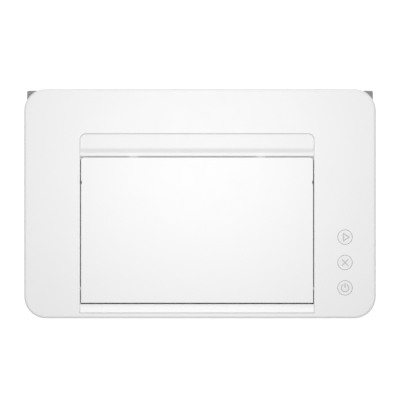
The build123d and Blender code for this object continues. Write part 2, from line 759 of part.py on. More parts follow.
def top_cover():
    """The lid of the case, open over the output tray, with holes for the buttons."""
    shell = round_top(case_block(0, (SEAM_Z, HEIGHT)), TOP_EDGE_R)
    shell -= case_block(WALL, (SEAM_Z - PAST, INNER_TOP_Z))
    shell -= tray_opening((INNER_TOP_Z - PAST, HEIGHT + PAST))
    panel = shell.faces().sort_by(Axis.Z)[-1]
    rim = [edge for wire in panel.inner_wires() for edge in wire.edges()]
    shell = fillet([edge for edge in rim if edge.center().Y > TRAY_FRONT_Y + TRAY_EDGE_R], TRAY_EDGE_R)
    for y in BUTTON_YS:
        shell -= rod_z(BUTTON_X, y, BUTTON_R + BUTTON_GAP, (INNER_TOP_Z - PAST, HEIGHT + PAST))
    for side in (-1, 1):
        notch_x = spread(side * HINGE_X, HINGE_POST_W + 2 * JOINT_GAP)
        notch_z = (SEAM_Z - PAST, COVER_HINGE[1] + HINGE_NOTCH_RISE)
        shell -= block(notch_x, longer((REAR_INNER_Y, REAR_Y)), notch_z)
        shell += hinge_rib(side)
    for y in (BUTTON_YS[0] - BOARD_POST_RUN, BUTTON_YS[-1] + BOARD_POST_RUN):
        shell += rod_z(BUTTON_X, y, BOARD_POST_R, (BUTTON_BOARD_Z + BOARD_T, INNER_TOP_Z))
    return shell


def tray_space():
    """Everything above the tray's floor: front ramp, flap well, floor, slot wall, rest, ledge and scoop."""
    above = HEIGHT + TRAY_DEPTH
    ramp_top = (TRAY_FRONT_Y, HEIGHT)
    ramp_foot = (FLAP_HINGE[0] - WELL_R, HEIGHT - RAMP_DROP)
    well_start = (ramp_foot[0], FLAP_HINGE[1])
    well_middle = beside(FLAP_HINGE, WELL_R, 225.0)
    floor_end = (SLOT_WALL_Y, TRAY_FLOOR_Z)
    rest = (SLOT_WALL_Y, REST_Z)
    rest_end = (FLAP_Y[1] - SHAFT_GAP, REST_Z)
    ledge = (FLAP_Y[1] + LEDGE_RUN, LEDGE_Z)
    ledge_end = (LEDGE_END_Y, LEDGE_Z)
    bend = (SCOOP_BEND_Y, HEIGHT - SCOOP_BEND_DROP)
    scoop_end = (TRAY_REAR_Y, HEIGHT - SCOOP_DROP)
    scoop_slope = (scoop_end[0] - bend[0], scoop_end[1] - bend[1])
    outline = [
        Line((TRAY_FRONT_Y, above), ramp_top),
        Line(ramp_top, ramp_foot),
        Line(ramp_foot, well_start),
        ThreePointArc(well_start, well_middle, WELL_END),
        Line(WELL_END, floor_end),
        Line(floor_end, rest),
        Line(rest, rest_end),
        Line(rest_end, ledge),
        Line(ledge, ledge_end),
        Spline(ledge_end, bend, tangents=[(1, 0), scoop_slope]),
        Line(bend, scoop_end),
        Line(scoop_end, (TRAY_REAR_Y, above)),
        Line((TRAY_REAR_Y, above), (TRAY_FRONT_Y, above)),
    ]
    return make_face(Wire(outline))


def tray_underside():
    """The tray's outer profile from its front lip, round the well and floor, to the foot of the ledge."""
    lip_y = TRAY_FRONT_Y - LIP_W
    lip = [(lip_y, INNER_TOP_Z - FACE_GAP), (lip_y, FLAP_HINGE[1])]
    well = [beside(FLAP_HINGE, WELL_R + TRAY_WALL, degrees) for degrees in (180, 207, 234, 261, 288)]
    floor = [
        (WELL_END[0], WELL_END[1] - TRAY_WALL),
        (SLOT_WALL_Y, TRAY_FLOOR_Z - TRAY_WALL),
        (SLOT_WALL_Y + TRAY_WALL, TRAY_FLOOR_Z - TRAY_WALL),
        (SLOT_WALL_Y + TRAY_WALL, REST_Z - TRAY_WALL),
    ]
    return lip + well + floor


def output_tray():
    """The moulded tray under the flap: side walls, well, floor, slot wall and scooped rear edge."""
    inner = TRAY_HALF - SHAFT_GAP
    lip_end = TRAY_FRONT_Y + FACE_GAP
    canopy = [
        (LEDGE_END_Y + TRAY_WALL, LEDGE_Z - TRAY_WALL),
        (SCOOP_BEND_Y + TRAY_WALL, HEIGHT - SCOOP_BEND_DROP - TRAY_WALL),
        (TRAY_REAR_Y, HEIGHT - SCOOP_DROP - TRAY_WALL),
        (TRAY_REAR_Y, HEIGHT),
    ]
    outer = [(lip_end, HEIGHT), (lip_end, INNER_TOP_Z - FACE_GAP)] + tray_underside() + canopy
    body = slab_x(outer, about_paper(inner))
    body -= along_x(tray_space(), about_paper(TRAY_HALF + PAST))
    rear_y = (LEDGE_END_Y, TRAY_REAR_Y + PAST)
    corners = block(about_paper(TRAY_HALF + PAST), rear_y, (LEDGE_Z, HEIGHT + PAST))
    body -= corners - tray_opening((LEDGE_Z - PAST, HEIGHT + 2 * PAST), grow=-SHAFT_GAP)
    side = tray_underside() + [(TRAY_REAR_Y, LEDGE_Z - TRAY_WALL), (TRAY_REAR_Y, INNER_TOP_Z - FACE_GAP)]
    for sign in (-1, 1):
        wall_x = (PAPER_X + sign * inner, PAPER_X + sign * (TRAY_HALF + TRAY_WALL))
        body += slab_x(side, wall_x) - rod_x(FLAP_HINGE, FLAP_PIN_R + PIN_GAP, longer(wall_x))
    body -= block(about_paper(SLOT_HALF), longer((SLOT_WALL_Y, SLOT_WALL_Y + TRAY_WALL)), SLOT_Z)
    for sign in (-1, 1):
        pad_x = spread(PAPER_X + sign * REST_PAD_X, REST_PAD_W)
        body += block(pad_x, (SLOT_WALL_Y, FLAP_Y[1]), (REST_Z, FLAP_Z[0] - SHAFT_GAP))
    return body


def output_flap():
    """The lid over the tray, which swings forward about its two pins to hold the printed sheets."""
    plan = Pos(PAPER_X, sum(FLAP_Y) / 2) * Rectangle(2 * FLAP_HALF, FLAP_Y[1] - FLAP_Y[0])
    plan = fillet(plan.vertices().group_by(Axis.Y)[-1], FLAP_CORNER_R)
    flap = round_top(Pos(0, 0, FLAP_Z[0]) * extrude(plan, amount=FLAP_T), FLAP_EDGE_R)
    rib_span = 2 * (FLAP_HALF - FLAP_RIB_INSET)
    rib_y = (FLAP_HINGE[0] + FLAP_RIB_END, SLOT_WALL_Y - FLAP_RIB_END)
    for n in range(FLAP_RIBS):
        x = PAPER_X - rib_span / 2 + n * rib_span / (FLAP_RIBS - 1)
        flap += block(spread(x, FLAP_RIB_W), rib_y, (FLAP_Z[0] - FLAP_RIB_H, FLAP_Z[0]))
    for sign in (-1, 1):
        edge = PAPER_X + sign * FLAP_HALF
        flap -= block((edge, edge - sign * DETENT_DEPTH), spread(DETENT_Y, DETENT_LENGTH), longer(FLAP_Z))
        lug_x = (edge, edge - sign * FLAP_LUG_T)
        flap += block(lug_x, spread(FLAP_HINGE[0], 2 * FLAP_LUG_R), (FLAP_HINGE[1], FLAP_Z[0]))
        flap += rod_x(FLAP_HINGE, FLAP_LUG_R, lug_x)
        flap += rod_x(FLAP_HINGE, FLAP_PIN_R, (edge, edge + sign * (FLAP_SIDE_GAP + FLAP_PIN_DEPTH)))
    return flap


def button_board():
    """The circuit board with the key switches, on two posts under the control panel."""
    y = (BUTTON_YS[0] - BUTTON_BOARD_END, BUTTON_YS[-1] + BUTTON_BOARD_END)
    top = BUTTON_BOARD_Z + BOARD_T
    board = block(spread(BUTTON_X, BUTTON_BOARD_W), y, (BUTTON_BOARD_Z, top))
    for y in BUTTON_YS:
        board += block(spread(BUTTON_X, SWITCH_SIZE), spread(y, SWITCH_SIZE), (top, top + SWITCH_H))
    return board


def button(place):
    """A push button, counted from the front: a cap level with the panel, and the flange that keeps it in."""
    y = BUTTON_YS[place]
    cap = round_top(rod_z(BUTTON_X, y, BUTTON_R, (HEIGHT - BUTTON_H, HEIGHT)), BUTTON_EDGE_R)
    flange_top = INNER_TOP_Z - FACE_GAP
    return cap + rod_z(BUTTON_X, y, BUTTON_FLANGE_R, (flange_top - BUTTON_FLANGE_T, flange_top))


# Front door

def front_door():
    """The outer shell of the door, with a grip in its top edge and a knuckle along its foot."""
    x = (-DOOR_HALF, DOOR_HALF)
    skin = (FRONT_Y, FRONT_Y + WALL)
    inside_r = DOOR_KNUCKLE_R - WALL
    knuckle = rod_x(DOOR_HINGE, DOOR_KNUCKLE_R, x) - rod_x(DOOR_HINGE, inside_r, longer(x))
    door = knuckle & block(x, (FRONT_Y, DOOR_HINGE[0]), (0, DOOR_HINGE[1]))
    door += block(x, skin, (DOOR_HINGE[1], DOOR_TOP_Z))
    door += block(x, (skin[1], DOOR_RIM_Y), (DOOR_TOP_Z - WALL, DOOR_TOP_Z))
    for sign in (-1, 1):
        side = (sign * DOOR_HALF, sign * (DOOR_HALF - WALL))
        door += block(side, (skin[1], DOOR_RIM_Y), (DOOR_HINGE[1], DOOR_TOP_Z))
        door += rod_x(DOOR_HINGE, inside_r, side)
        door += rod_x(DOOR_HINGE, DOOR_PIN_R, (side[1], sign * (DOOR_HALF + DOOR_PIN_REACH)))
    top_front = door.edges().filter_by(Axis.X).group_by(Axis.Z)[-1].sort_by(Axis.Y)[:1]
    door = fillet(top_front, DOOR_EDGE_R)
    grip = RectangleRounded(2 * GRIP_HALF, 2 * GRIP_DEPTH, GRIP_CORNER_R)
    cut = Pos(0, DOOR_RIM_Y + PAST, DOOR_TOP_Z) * Rot(90, 0, 0) * extrude(grip, amount=DOOR_RIM + 2 * PAST)
    return door - cut


def door_tray():
    """The inner face of the door, which carries the outer end of the paper."""
    y = (DOOR_RIM_Y, DOOR_RIM_Y + LINER_T)
    half = DOOR_HALF - WALL - LINER_GAP
    z = (DOOR_HINGE[1] + LINER_LOW, DOOR_TOP_Z - LINER_TOP_GAP)
    liner = block((-half, half), y, z)
    rib_z = (z[0] + LINER_RIB_END, z[1] - LINER_RIB_END)
    for n in range(LINER_RIBS):
        x = PAPER_X + (n - (LINER_RIBS - 1) / 2) * LINER_RIB_PITCH
        liner += block(spread(x, LINER_RIB_W), (y[1], y[1] + LINER_RIB_H), rib_z)
    for sign in (-1, 1):
        web = (sign * half, sign * (half - LINER_WEB_T))
        liner += block(web, (FRONT_Y + WALL, y[0]), rib_z)
    return liner


# Case below the top cover

def side_cover(sign):
    """One side of the case, with its rounded front corner, shoulder, inner ledge and air slots."""
    top = SEAM_Z - SEAM_GAP
    shell = round_top(case_block(0, (SKIRT_Z, top), DEPTH), SHOULDER_R)
    shell -= case_block(WALL, (SKIRT_Z - PAST, top - WALL), DEPTH)
    shell -= case_block(LEDGE_W, (SKIRT_Z, top + PAST), DEPTH)
    side_x = (sign * (DOOR_HALF + JOINT_GAP), sign * (HALF_W + PAST))
    shell &= block(side_x, (FRONT_Y - PAST, ENGINE_REAR_Y - JOINT_GAP), (0, HEIGHT))
    wall_x = longer((sign * HALF_W, sign * (HALF_W - WALL)))
    middle = FAN_AT[0] if sign < 0 else RIGHT_SLOTS_Y
    for row in range(SLOT_ROWS):
        z = AIR_SLOT_Z + row * AIR_ROW_PITCH
        for n in range(SLOTS_IN_ROW):
            y = middle + (n - (SLOTS_IN_ROW - 1) / 2) * SLOT_PITCH
            shell -= block(wall_x, spread(y, AIR_SLOT_W), (z, z + AIR_SLOT_H))
    return shell


def screw_places():
    side = HALF_W - SCREW_INSET
    return [(-side, SCREW_LOW_Z), (-side, SCREW_HIGH_Z), (side, SCREW_MID_Z), (side, SCREW_HIGH_Z)]


def cover_hinge_post(side):
    """A post on the rear wall with the hole for the top cover's pin."""
    y, z = COVER_HINGE
    x = spread(side * HINGE_X, HINGE_POST_W)
    outline_y = (y - HINGE_POST_R, y + HINGE_POST_BACK)
    post = block(x, outline_y, (REAR_TOP_Z - WALL, z))
    post += rod_x(COVER_HINGE, HINGE_POST_R, x) & block(x, outline_y, (z, z + HINGE_POST_R))
    return post - rod_x(COVER_HINGE, COVER_PIN_R + PIN_GAP, longer(x))


def rear_frame():
    """The rear wall of the case, with the jam door's opening, the hinge posts and the socket holes."""
    front = ENGINE_REAR_Y
    shell = block((-HALF_W, HALF_W), (front, REAR_Y), (SKIRT_Z, REAR_TOP_Z))
    shell = fillet(shell.edges().filter_by(Axis.Y).group_by(Axis.Z)[-1], SHOULDER_R)
    shell = fillet(shell.edges().filter_by(Axis.Z).group_by(Axis.Y)[-1], REAR_CORNER_R)
    hollow_half = HALF_W - WALL
    hollow_z = (SKIRT_Z + WALL, REAR_TOP_Z - WALL)
    shell -= block((-hollow_half, hollow_half), (front - PAST, REAR_INNER_Y), hollow_z)
    fuser_room = (front - PAST, PRESSURE_AT[0] + PRESSURE_R + FUSER_REAR_GAP + ROOM)
    shell -= block(about_paper(PLATE_OUT + WALL), fuser_room, longer((hollow_z[1], REAR_TOP_Z)))
    opening_half = REAR_DOOR_HALF + REAR_DOOR_GAP
    opening_z = (REAR_DOOR_Z[0] - REAR_SWING_GAP, REAR_DOOR_Z[1] + REAR_DOOR_GAP)
    through = longer((REAR_INNER_Y, REAR_Y))
    shell -= block(about_paper(opening_half), through, opening_z)
    for sign in (-1, 1):
        cheek_x = (PAPER_X + sign * opening_half, PAPER_X + sign * (opening_half + WALL))
        cheek_y = (REAR_HINGE[0] - REAR_CHEEK, REAR_INNER_Y)
        shell += block(cheek_x, cheek_y, spread(REAR_HINGE[1], 2 * REAR_CHEEK))
        shell -= rod_x(REAR_HINGE, REAR_PIN_R + PIN_GAP, longer(cheek_x))
        shell += cover_hinge_post(sign)
    slack = 2 * SOCKET_GAP
    shell -= block(spread(INLET_X, INLET_W + slack), through, spread(INLET_Z, INLET_H + slack))
    shell -= block(spread(USB_X, USB_W + slack), through, spread(USB_Z, USB_H + slack))
    for x, z in screw_places():
        shell -= rod_y(x, z, SCREW_R + SHAFT_GAP, (REAR_Y - SCREW_POCKET, REAR_Y + PAST))
    return shell


def case_screws():
    """The rear wall's screws: pan heads with a cross, sunk in their pockets."""
    screws = []
    for x, z in screw_places():
        y = (REAR_Y - SCREW_POCKET, REAR_Y - SCREW_POCKET + SCREW_H)
        head = rod_y(x, z, SCREW_R, y)
        slot_y = (y[1] - SCREW_SLOT_H, y[1] + PAST)
        head -= block(spread(x, SCREW_SLOT_L), slot_y, spread(z, SCREW_SLOT_W))
        head -= block(spread(x, SCREW_SLOT_W), slot_y, spread(z, SCREW_SLOT_L))
        screws.append(head)
    return Compound(screws)


def power_inlet():
    """The mains inlet: a mouth with two bevelled corners, three blades, and a flange inside the wall."""
    body = block(
        spread(INLET_X, INLET_W), (SOCKET_REAR_Y - INLET_LENGTH, SOCKET_REAR_Y), spread(INLET_Z, INLET_H)
    )
    flange_x = spread(INLET_X, INLET_W + 2 * INLET_FLANGE_W)
    flange_z = spread(INLET_Z, INLET_H + 2 * INLET_FLANGE_H)
    body += block(flange_x, (REAR_INNER_Y - WALL, REAR_INNER_Y), flange_z)
    left, right = spread(INLET_X, INLET_MOUTH_W)
    low, high = spread(INLET_Z, INLET_MOUTH_H)
    mouth = [
        (left, low),
        (right, low),
        (right, high - INLET_BEVEL),
        (right - INLET_BEVEL, high),
        (left + INLET_BEVEL, high),
        (left, high - INLET_BEVEL),
    ]
    floor = SOCKET_REAR_Y - INLET_CAVITY
    body -= slab_y(mouth, (floor, REAR_Y))
    for dx, dz in INLET_BLADES:
        blade_x = spread(INLET_X + dx, INLET_BLADE_W)
        body += block(blade_x, (floor, floor + INLET_BLADE_L), spread(INLET_Z + dz, INLET_BLADE_H))
    return body


def usb_port():
    """The square data socket on the rear end of the main board."""
    body = block(spread(USB_X, USB_W), (SOCKET_REAR_Y - USB_LENGTH, SOCKET_REAR_Y), spread(USB_Z, USB_H))
    floor = SOCKET_REAR_Y - USB_CAVITY
    body -= block(spread(USB_X, USB_MOUTH_W), (floor, REAR_Y), spread(USB_Z, USB_MOUTH_H))
    tongue_y = (floor, SOCKET_REAR_Y - USB_TONGUE_SINK)
    return body + block(spread(USB_X, USB_TONGUE_W), tongue_y, spread(USB_Z, USB_TONGUE_H))


def rear_cover():
    """The jam door in the rear wall, with paper ribs inside and its two hinge pins."""
    plate = block(about_paper(REAR_DOOR_HALF), (REAR_INNER_Y, REAR_Y - FACE_GAP), REAR_DOOR_Z)
    foot = plate.edges().filter_by(Axis.X).group_by(Axis.Z)[0].sort_by(Axis.Y)[-1:]
    plate = fillet(foot, REAR_CORNER_R)
    rib_y = REAR_INNER_Y - REAR_RIB_DEPTH
    low, high = REAR_DOOR_Z[0] + REAR_RIB_END, REAR_DOOR_Z[1] - REAR_RIB_END
    rib = [
        (REAR_INNER_Y, low),
        (rib_y, low + REAR_RIB_DEPTH),
        (rib_y, (low + high) / 2),
        (REAR_INNER_Y - REAR_RIB_DEPTH / 2, high - REAR_RIB_DEPTH),
        (REAR_INNER_Y, high),
    ]
    for n in range(REAR_RIBS):
        x = PAPER_X - REAR_RIB_SPAN / 2 + n * REAR_RIB_SPAN / (REAR_RIBS - 1)
        plate += slab_x(rib, spread(x, REAR_RIB_W))
    for sign in (-1, 1):
        edge = PAPER_X + sign * REAR_DOOR_HALF
        lug_x = (edge, edge - sign * REAR_LUG_T)
        plate += rod_x(REAR_HINGE, REAR_LUG_R, lug_x)
        plate += block(lug_x, (REAR_HINGE[0], REAR_INNER_Y), spread(REAR_HINGE[1], 2 * REAR_PIN_R))
        plate += rod_x(REAR_HINGE, REAR_PIN_R, (edge, edge + sign * (REAR_DOOR_GAP + WALL)))
        latch_x = spread(PAPER_X + sign * LATCH_X, LATCH_W)
        latch_z = (REAR_DOOR_Z[1] - LATCH_H, REAR_DOOR_Z[1] + PAST)
        plate -= block(latch_x, (REAR_Y - FACE_GAP - LATCH_DEPTH, REAR_Y), latch_z)
    return plate


# Base and engine frame

def base_frame():
    """The bottom moulding, with the door's ears, the guide pinion's post and the spring's seat."""
    half = HALF_W - BASE_INSET
    rear = ENGINE_REAR_Y - FACE_GAP
    plate_z = (FOOT_H, FLOOR_Z)
    base = block((-half, half), (BEHIND_DOOR_Y, rear), plate_z)
    ear_x = DOOR_HALF + JOINT_GAP
    for sign in (-1, 1):
        wing = (sign * ear_x, sign * (HALF_W - CORNER_R))
        base += block(wing, (FRONT_Y + WALL + ROOM, BEHIND_DOOR_Y), plate_z)
        ear = (sign * ear_x, sign * (ear_x + DOOR_EAR_T))
        ear_y = (DOOR_HINGE[0] - DOOR_EAR_R, DOOR_HINGE[0] + DOOR_EAR_BACK)
        base += block(ear, ear_y, (FOOT_H, DOOR_HINGE[1]))
        base += rod_x(DOOR_HINGE, DOOR_EAR_R, ear)
        base -= rod_x(DOOR_HINGE, DOOR_PIN_R + PIN_GAP, longer(ear))
        rail = (sign * half, sign * (half - RAIL_T))
        base += block(rail, (FRONT_Y + CORNER_R + ROOM, rear), (FOOT_H, RAIL_TOP_Z))
    base += rod_z(PAPER_X, PINION_Y, PINION_SEAT_R, (FOOT_H, RACK_Z - FACE_GAP))
    base += rod_z(PAPER_X, PINION_Y, PINION_POST_R, (FOOT_H, RACK_Z + RACK_T + FACE_GAP))
    base += rod_z(PAPER_X, SPRING_Y, SPRING_SEAT_R, (FOOT_H, FLOOR_Z + SPRING_SEAT_H))
    slot_x = (PAPER_X + PLATE_OUT + ROOM, half - 2 * RAIL_T)
    for n in range(BASE_SLOTS):
        base -= block(slot_x, spread(BASE_SLOTS_Y + n * BASE_SLOT_PITCH, BASE_SLOT_W), longer(plate_z))
    return base


def rubber_feet():
    feet = []
    for x in (-1, 1):
        for y in (-1, 1):
            foot = rod_z(x * (HALF_W - FOOT_INSET), y * (REAR_Y - FOOT_INSET), FOOT_R, (0, FOOT_H))
            feet.append(chamfer(foot.faces().sort_by(Axis.Z)[0].edges(), FOOT_CHAMFER))
    return Compound(feet)


def frame_plate(sign):
    """One side of the engine frame, with a seat for every shaft and a corner cut clear of the open door."""
    rear = ENGINE_REAR_Y - FACE_GAP
    step_y = EXIT_AT[0] - EXIT_STEP_RUN
    outline = [
        (BEHIND_DOOR_Y, FLOOR_Z),
        (rear, FLOOR_Z),
        (rear, ENGINE_TOP_Z - REAR_SLOPE_RISE),
        (rear - REAR_SLOPE_RUN, ENGINE_TOP_Z),
        (EXIT_AT[0] + EXIT_TOP_RUN, HEIGHT - EXIT_TOP_DROP),
        (step_y, HEIGHT - EXIT_TOP_DROP),
        (step_y, ENGINE_TOP_Z),
        (ENGINE_FRONT_Y, ENGINE_TOP_Z),
        (ENGINE_FRONT_Y, DOOR_HINGE[1] + ROOM),
        (BEHIND_DOOR_Y, DOOR_HINGE[1] + ROOM),
    ]
    x = (PAPER_X + sign * PLATE_IN, PAPER_X + sign * PLATE_OUT)
    plate = slab_x(outline, x)
    window_y = [DRUM_AT[0] + step for step in WINDOW_RUN]
    window_z = [DRUM_AT[1] + step for step in WINDOW_RISE]
    plate -= block(longer(x), window_y, window_z)
    for at in BUSHED_SHAFTS:
        plate -= rod_x(at, BUSH_R, longer(x))
    for at in (EXIT_IDLER_AT, LIFT_HINGE):
        plate -= rod_x(at, THIN_SHAFT_R + SHAFT_GAP, longer(x))
    if sign < 0:
        for at in (CARRIER_AT, REDUCTION_AT):
            plate -= rod_x(at, SHAFT_R + SHAFT_GAP, longer(x))
    return plate


def roller_bushes():
    """The plain bearings in the frame plates, two to each shaft."""
    rings = []
    for at in BUSHED_SHAFTS:
        for sign in (-1, 1):
            x = (PAPER_X + sign * (PLATE_IN - BUSH_LIP), PAPER_X + sign * PLATE_OUT)
            rings.append(rod_x(at, BUSH_R - BUSH_FIT, x) - rod_x(at, SHAFT_R + SHAFT_GAP, longer(x)))
    return Compound(rings)


def inner_panel():
    """The ribbed wall behind the door, above the paper opening, with a ledge under the scanner's shelf."""
    panel_y = (ENGINE_FRONT_Y - INNER_PANEL_T, ENGINE_FRONT_Y)
    panel = block(about_paper(PLATE_OUT), panel_y, (INNER_PANEL_Z, ENGINE_TOP_Z))
    ledge_z = (INNER_PANEL_Z, INNER_PANEL_Z + INNER_LEDGE_T)
    ledge_y = (ENGINE_FRONT_Y, ENGINE_FRONT_Y + INNER_LEDGE_L)
    panel += block(about_paper(PLATE_IN - FACE_GAP), ledge_y, ledge_z)
    rib_z = (SCANNER_Z + ROOM, ENGINE_TOP_Z - INNER_RIB_DROP)
    for n in range(INNER_PANEL_RIBS):
        x = PAPER_X + (n - (INNER_PANEL_RIBS - 1) / 2) * INNER_RIB_PITCH
        panel += block(spread(x, INNER_RIB_W), (ENGINE_FRONT_Y, ENGINE_FRONT_Y + INNER_RIB_DEPTH), rib_z)
    return panel


def tray_plate():
    """The fixed floor under the paper guides, slotted for their stems, on two legs."""
    z = (TRAY_PLATE_Z, TRAY_PLATE_TOP)
    y = (ENGINE_FRONT_Y + JOINT_GAP, ENGINE_FRONT_Y + JOINT_GAP + TRAY_PLATE_L)
    half = PLATE_IN - FACE_GAP
    plate = block(about_paper(half), y, z)
    for sign in (-1, 1):
        slot_y = spread(PINION_Y - sign * STEM_OFFSET, STEM_T + 2 * ROOM)
        near = RACK_END - STEM_W - GUIDE_TRAVEL - ROOM
        plate -= block((PAPER_X + sign * near, PAPER_X + sign * (RACK_END + STEM_W)), slot_y, longer(z))
        leg = (PAPER_X + sign * (half - LEG_T), PAPER_X + sign * half)
        plate += block(leg, GUIDE_Y, (FLOOR_Z, z[0]))
    return plate


def rack(sign):
    """A toothed bar under the tray floor, in mesh with the guide pinion."""
    pitch = math.pi * MODULE
    tip = RACK_LINE - ADDENDUM * MODULE
    slope = math.tan(math.radians(PRESSURE_DEG))
    half_at_line = (pitch - TOOTH_PLAY) / 4
    half_root = half_at_line + DEDENDUM * MODULE * slope
    half_tip = half_at_line - ADDENDUM * MODULE * slope
    first = -RACK_SPARE_TEETH * pitch
    back = RACK_ROOT + RACK_BACK
    points = [(RACK_END, back), (first - pitch / 2, back), (first - pitch / 2, RACK_ROOT)]
    for n in range(int((RACK_END - first) / pitch)):
        middle = first + n * pitch
        points += [(middle - half_root, RACK_ROOT), (middle - half_tip, tip)]
        points += [(middle + half_tip, tip), (middle + half_root, RACK_ROOT)]
    points.append((RACK_END, RACK_ROOT))
    placed = [(PAPER_X + sign * x, PINION_Y - sign * y) for x, y in points]
    return Pos(0, 0, RACK_Z) * extrude(polygon(placed), amount=RACK_T)


def paper_guide(sign):
    """A side guide for the paper: fence, foot, the stem through the floor and its rack."""
    inner = PAPER_X + sign * (PAPER_HALF + GUIDE_SLACK)
    foot_z = TRAY_PLATE_TOP + GUIDE_LIFT
    fence = block((inner, inner + sign * GUIDE_T), GUIDE_Y, (foot_z, GUIDE_TOP_Z))
    fence = fillet(fence.edges().filter_by(Axis.X).group_by(Axis.Z)[-1], GUIDE_CORNER_R)
    foot_y = (GUIDE_Y[0] + GUIDE_FOOT_INSET, GUIDE_Y[1] - GUIDE_FOOT_INSET)
    fence += block((inner - sign * GUIDE_FOOT_W, inner), foot_y, (foot_z, foot_z + GUIDE_FOOT_T))
    stem_x = (PAPER_X + sign * (RACK_END - STEM_W), PAPER_X + sign * RACK_END)
    fence += block(stem_x, spread(PINION_Y - sign * STEM_OFFSET, STEM_T), (RACK_Z, foot_z + GUIDE_FOOT_T))
    return fence + rack(sign)


def guide_pinion():
    """The pinion between the two racks, turned so that its gaps face their teeth."""
    disc = extrude(gear_face(GUIDE_TEETH, (PAPER_X, PINION_Y), PINION_PHASE), amount=RACK_T)
    return Pos(0, 0, RACK_Z) * disc - rod_z(PAPER_X, PINION_Y, PINION_POST_R + PIN_GAP, (0, HEIGHT))


def lift_plate():
    """The sprung steel plate that lifts the paper to the pick-up roller, drawn flat and then turned."""
    sheet = block(about_paper(LIFT_HALF), (0, LIFT_L), spread(0, LIFT_T))
    for sign in (-1, 1):
        edge = PAPER_X + sign * LIFT_HALF
        sheet += block((edge, edge - sign * LIFT_T), (0, LIFT_L - LIFT_FLANGE_H), (-LIFT_FLANGE_H, 0))
        sheet += rod_x((0, 0), THIN_SHAFT_R, (edge - sign * LIFT_T, PAPER_X + sign * PLATE_OUT))
    return Pos(0, *LIFT_HINGE) * sheet.rotate(Axis.X, LIFT_DEG)


def lift_spring():
    """The coil under the lift plate, as the sleeve that its turns fill."""
    slope = math.tan(math.radians(LIFT_DEG))
    under = LIFT_HINGE[1] + (SPRING_Y - SPRING_R - LIFT_HINGE[0]) * slope - LIFT_T
    z = (FLOOR_Z, under)
    bore = rod_z(PAPER_X, SPRING_Y, SPRING_R - SPRING_WIRE, longer(z))
    return rod_z(PAPER_X, SPRING_Y, SPRING_R, z) - bore


def separation_pad():
    """The friction pad on its block, close under the pick-up roller's rear side."""
    touch = beside(PICKUP_AT, PICKUP_R + PAD_GAP, PAD_DEG)
    top = beside(touch, PAD_UP, PAD_DEG + 90)
    low = beside(touch, PAD_DOWN, PAD_DEG - 90)
    front = PICKUP_AT[0] + PAD_BLOCK_RUN
    rear = front + PAD_BLOCK_L
    outline = [low, top, (rear, top[1]), (rear, FLOOR_Z), (front, FLOOR_Z), (front, low[1] - ROOM)]
    return slab_x(outline, about_paper(PAD_HALF))


# Rollers

def pickup_shaft():
    return frame_shaft(PICKUP_AT) + rod_x(PICKUP_AT, PICKUP_R - TYRE_T, about_paper(PICKUP_W / 2))


def pickup_tyre():
    x = about_paper(PICKUP_W / 2)
    return rod_x(PICKUP_AT, PICKUP_R, x) - rod_x(PICKUP_AT, PICKUP_R - TYRE_T, longer(x))


def opc_drum():
    """The photoconductor drum, with the gear that turns the transfer roller on its right end."""
    drum = rod_x(DRUM_AT, DRUM_R, about_paper(DRUM_HALF)) + frame_shaft(DRUM_AT, left=GEAR_REACH)
    return drum + right_gear(RIGHT_DRUM_TEETH, DRUM_AT, DRUM_PHASE)


def drum_gear():
    """The large gear pressed on the left end of the drum's shaft."""
    return left_gear(DRUM_TEETH, DRUM_AT, DRUM_PHASE) - rod_x(DRUM_AT, SHAFT_R, (-HALF_W, HALF_W))


def transfer_roller():
    roller = rod_x(TRANSFER_AT, TRANSFER_R, about_paper(ROLLER_HALF)) + frame_shaft(TRANSFER_AT)
    return roller + right_gear(TRANSFER_TEETH, TRANSFER_AT, TRANSFER_PHASE)


def feed_roller():
    roller = frame_shaft(FEED_AT, left=GEAR_REACH) + left_gear(FEED_TEETH, FEED_AT, FEED_PHASE)
    return roller + tyres(FEED_AT, FEED_R, FEED_TYRES, FEED_TYRE_W)


def pinch_roller():
    return frame_shaft(PINCH_AT) + tyres(PINCH_AT, PINCH_R, FEED_TYRES, PINCH_TYRE_W)


def heat_roller():
    roller = rod_x(HEAT_AT, HEAT_R, about_paper(ROLLER_HALF)) + frame_shaft(HEAT_AT, left=GEAR_REACH)
    return roller + left_gear(FUSER_TEETH, HEAT_AT, FUSER_PHASE)


def pressure_roller():
    return rod_x(PRESSURE_AT, PRESSURE_R, about_paper(ROLLER_HALF)) + frame_shaft(PRESSURE_AT)


def exit_roller():
    roller = frame_shaft(EXIT_AT, left=GEAR_REACH) + left_gear(EXIT_TEETH, EXIT_AT, EXIT_PHASE)
    return roller + tyres(EXIT_AT, EXIT_R, EXIT_TYRES, EXIT_TYRE_W)


def exit_idlers():
    shaft = frame_shaft(EXIT_IDLER_AT, radius=THIN_SHAFT_R)
    return shaft + tyres(EXIT_IDLER_AT, EXIT_IDLER_R, EXIT_TYRES, EXIT_IDLER_W)


# Drive

def gear_stub(at):
    """A short shaft from the left plate's inner face through the bracket."""
    return rod_x(at, SHAFT_R, (PAPER_X - GEAR_REACH, PAPER_X - PLATE_IN))


def carrier_gear():
    """The gear that takes the drive from the fuser to the exit roller."""
    return left_gear(CARRIER_TEETH, CARRIER_AT, CARRIER_PHASE) + gear_stub(CARRIER_AT)


def reduction_gear():
    """The large gear between the motor's pinion and the drum's gear, lightened by a ring of holes."""
    gear = left_gear(REDUCTION_TEETH, REDUCTION_AT, REDUCTION_PHASE)
    for n in range(REDUCTION_HOLES):
        hole = beside(REDUCTION_AT, REDUCTION_HOLE_RUN, n * 360 / REDUCTION_HOLES)
        gear -= rod_x(hole, REDUCTION_HOLE_R, (-HALF_W, HALF_W))
    return gear + gear_stub(REDUCTION_AT)


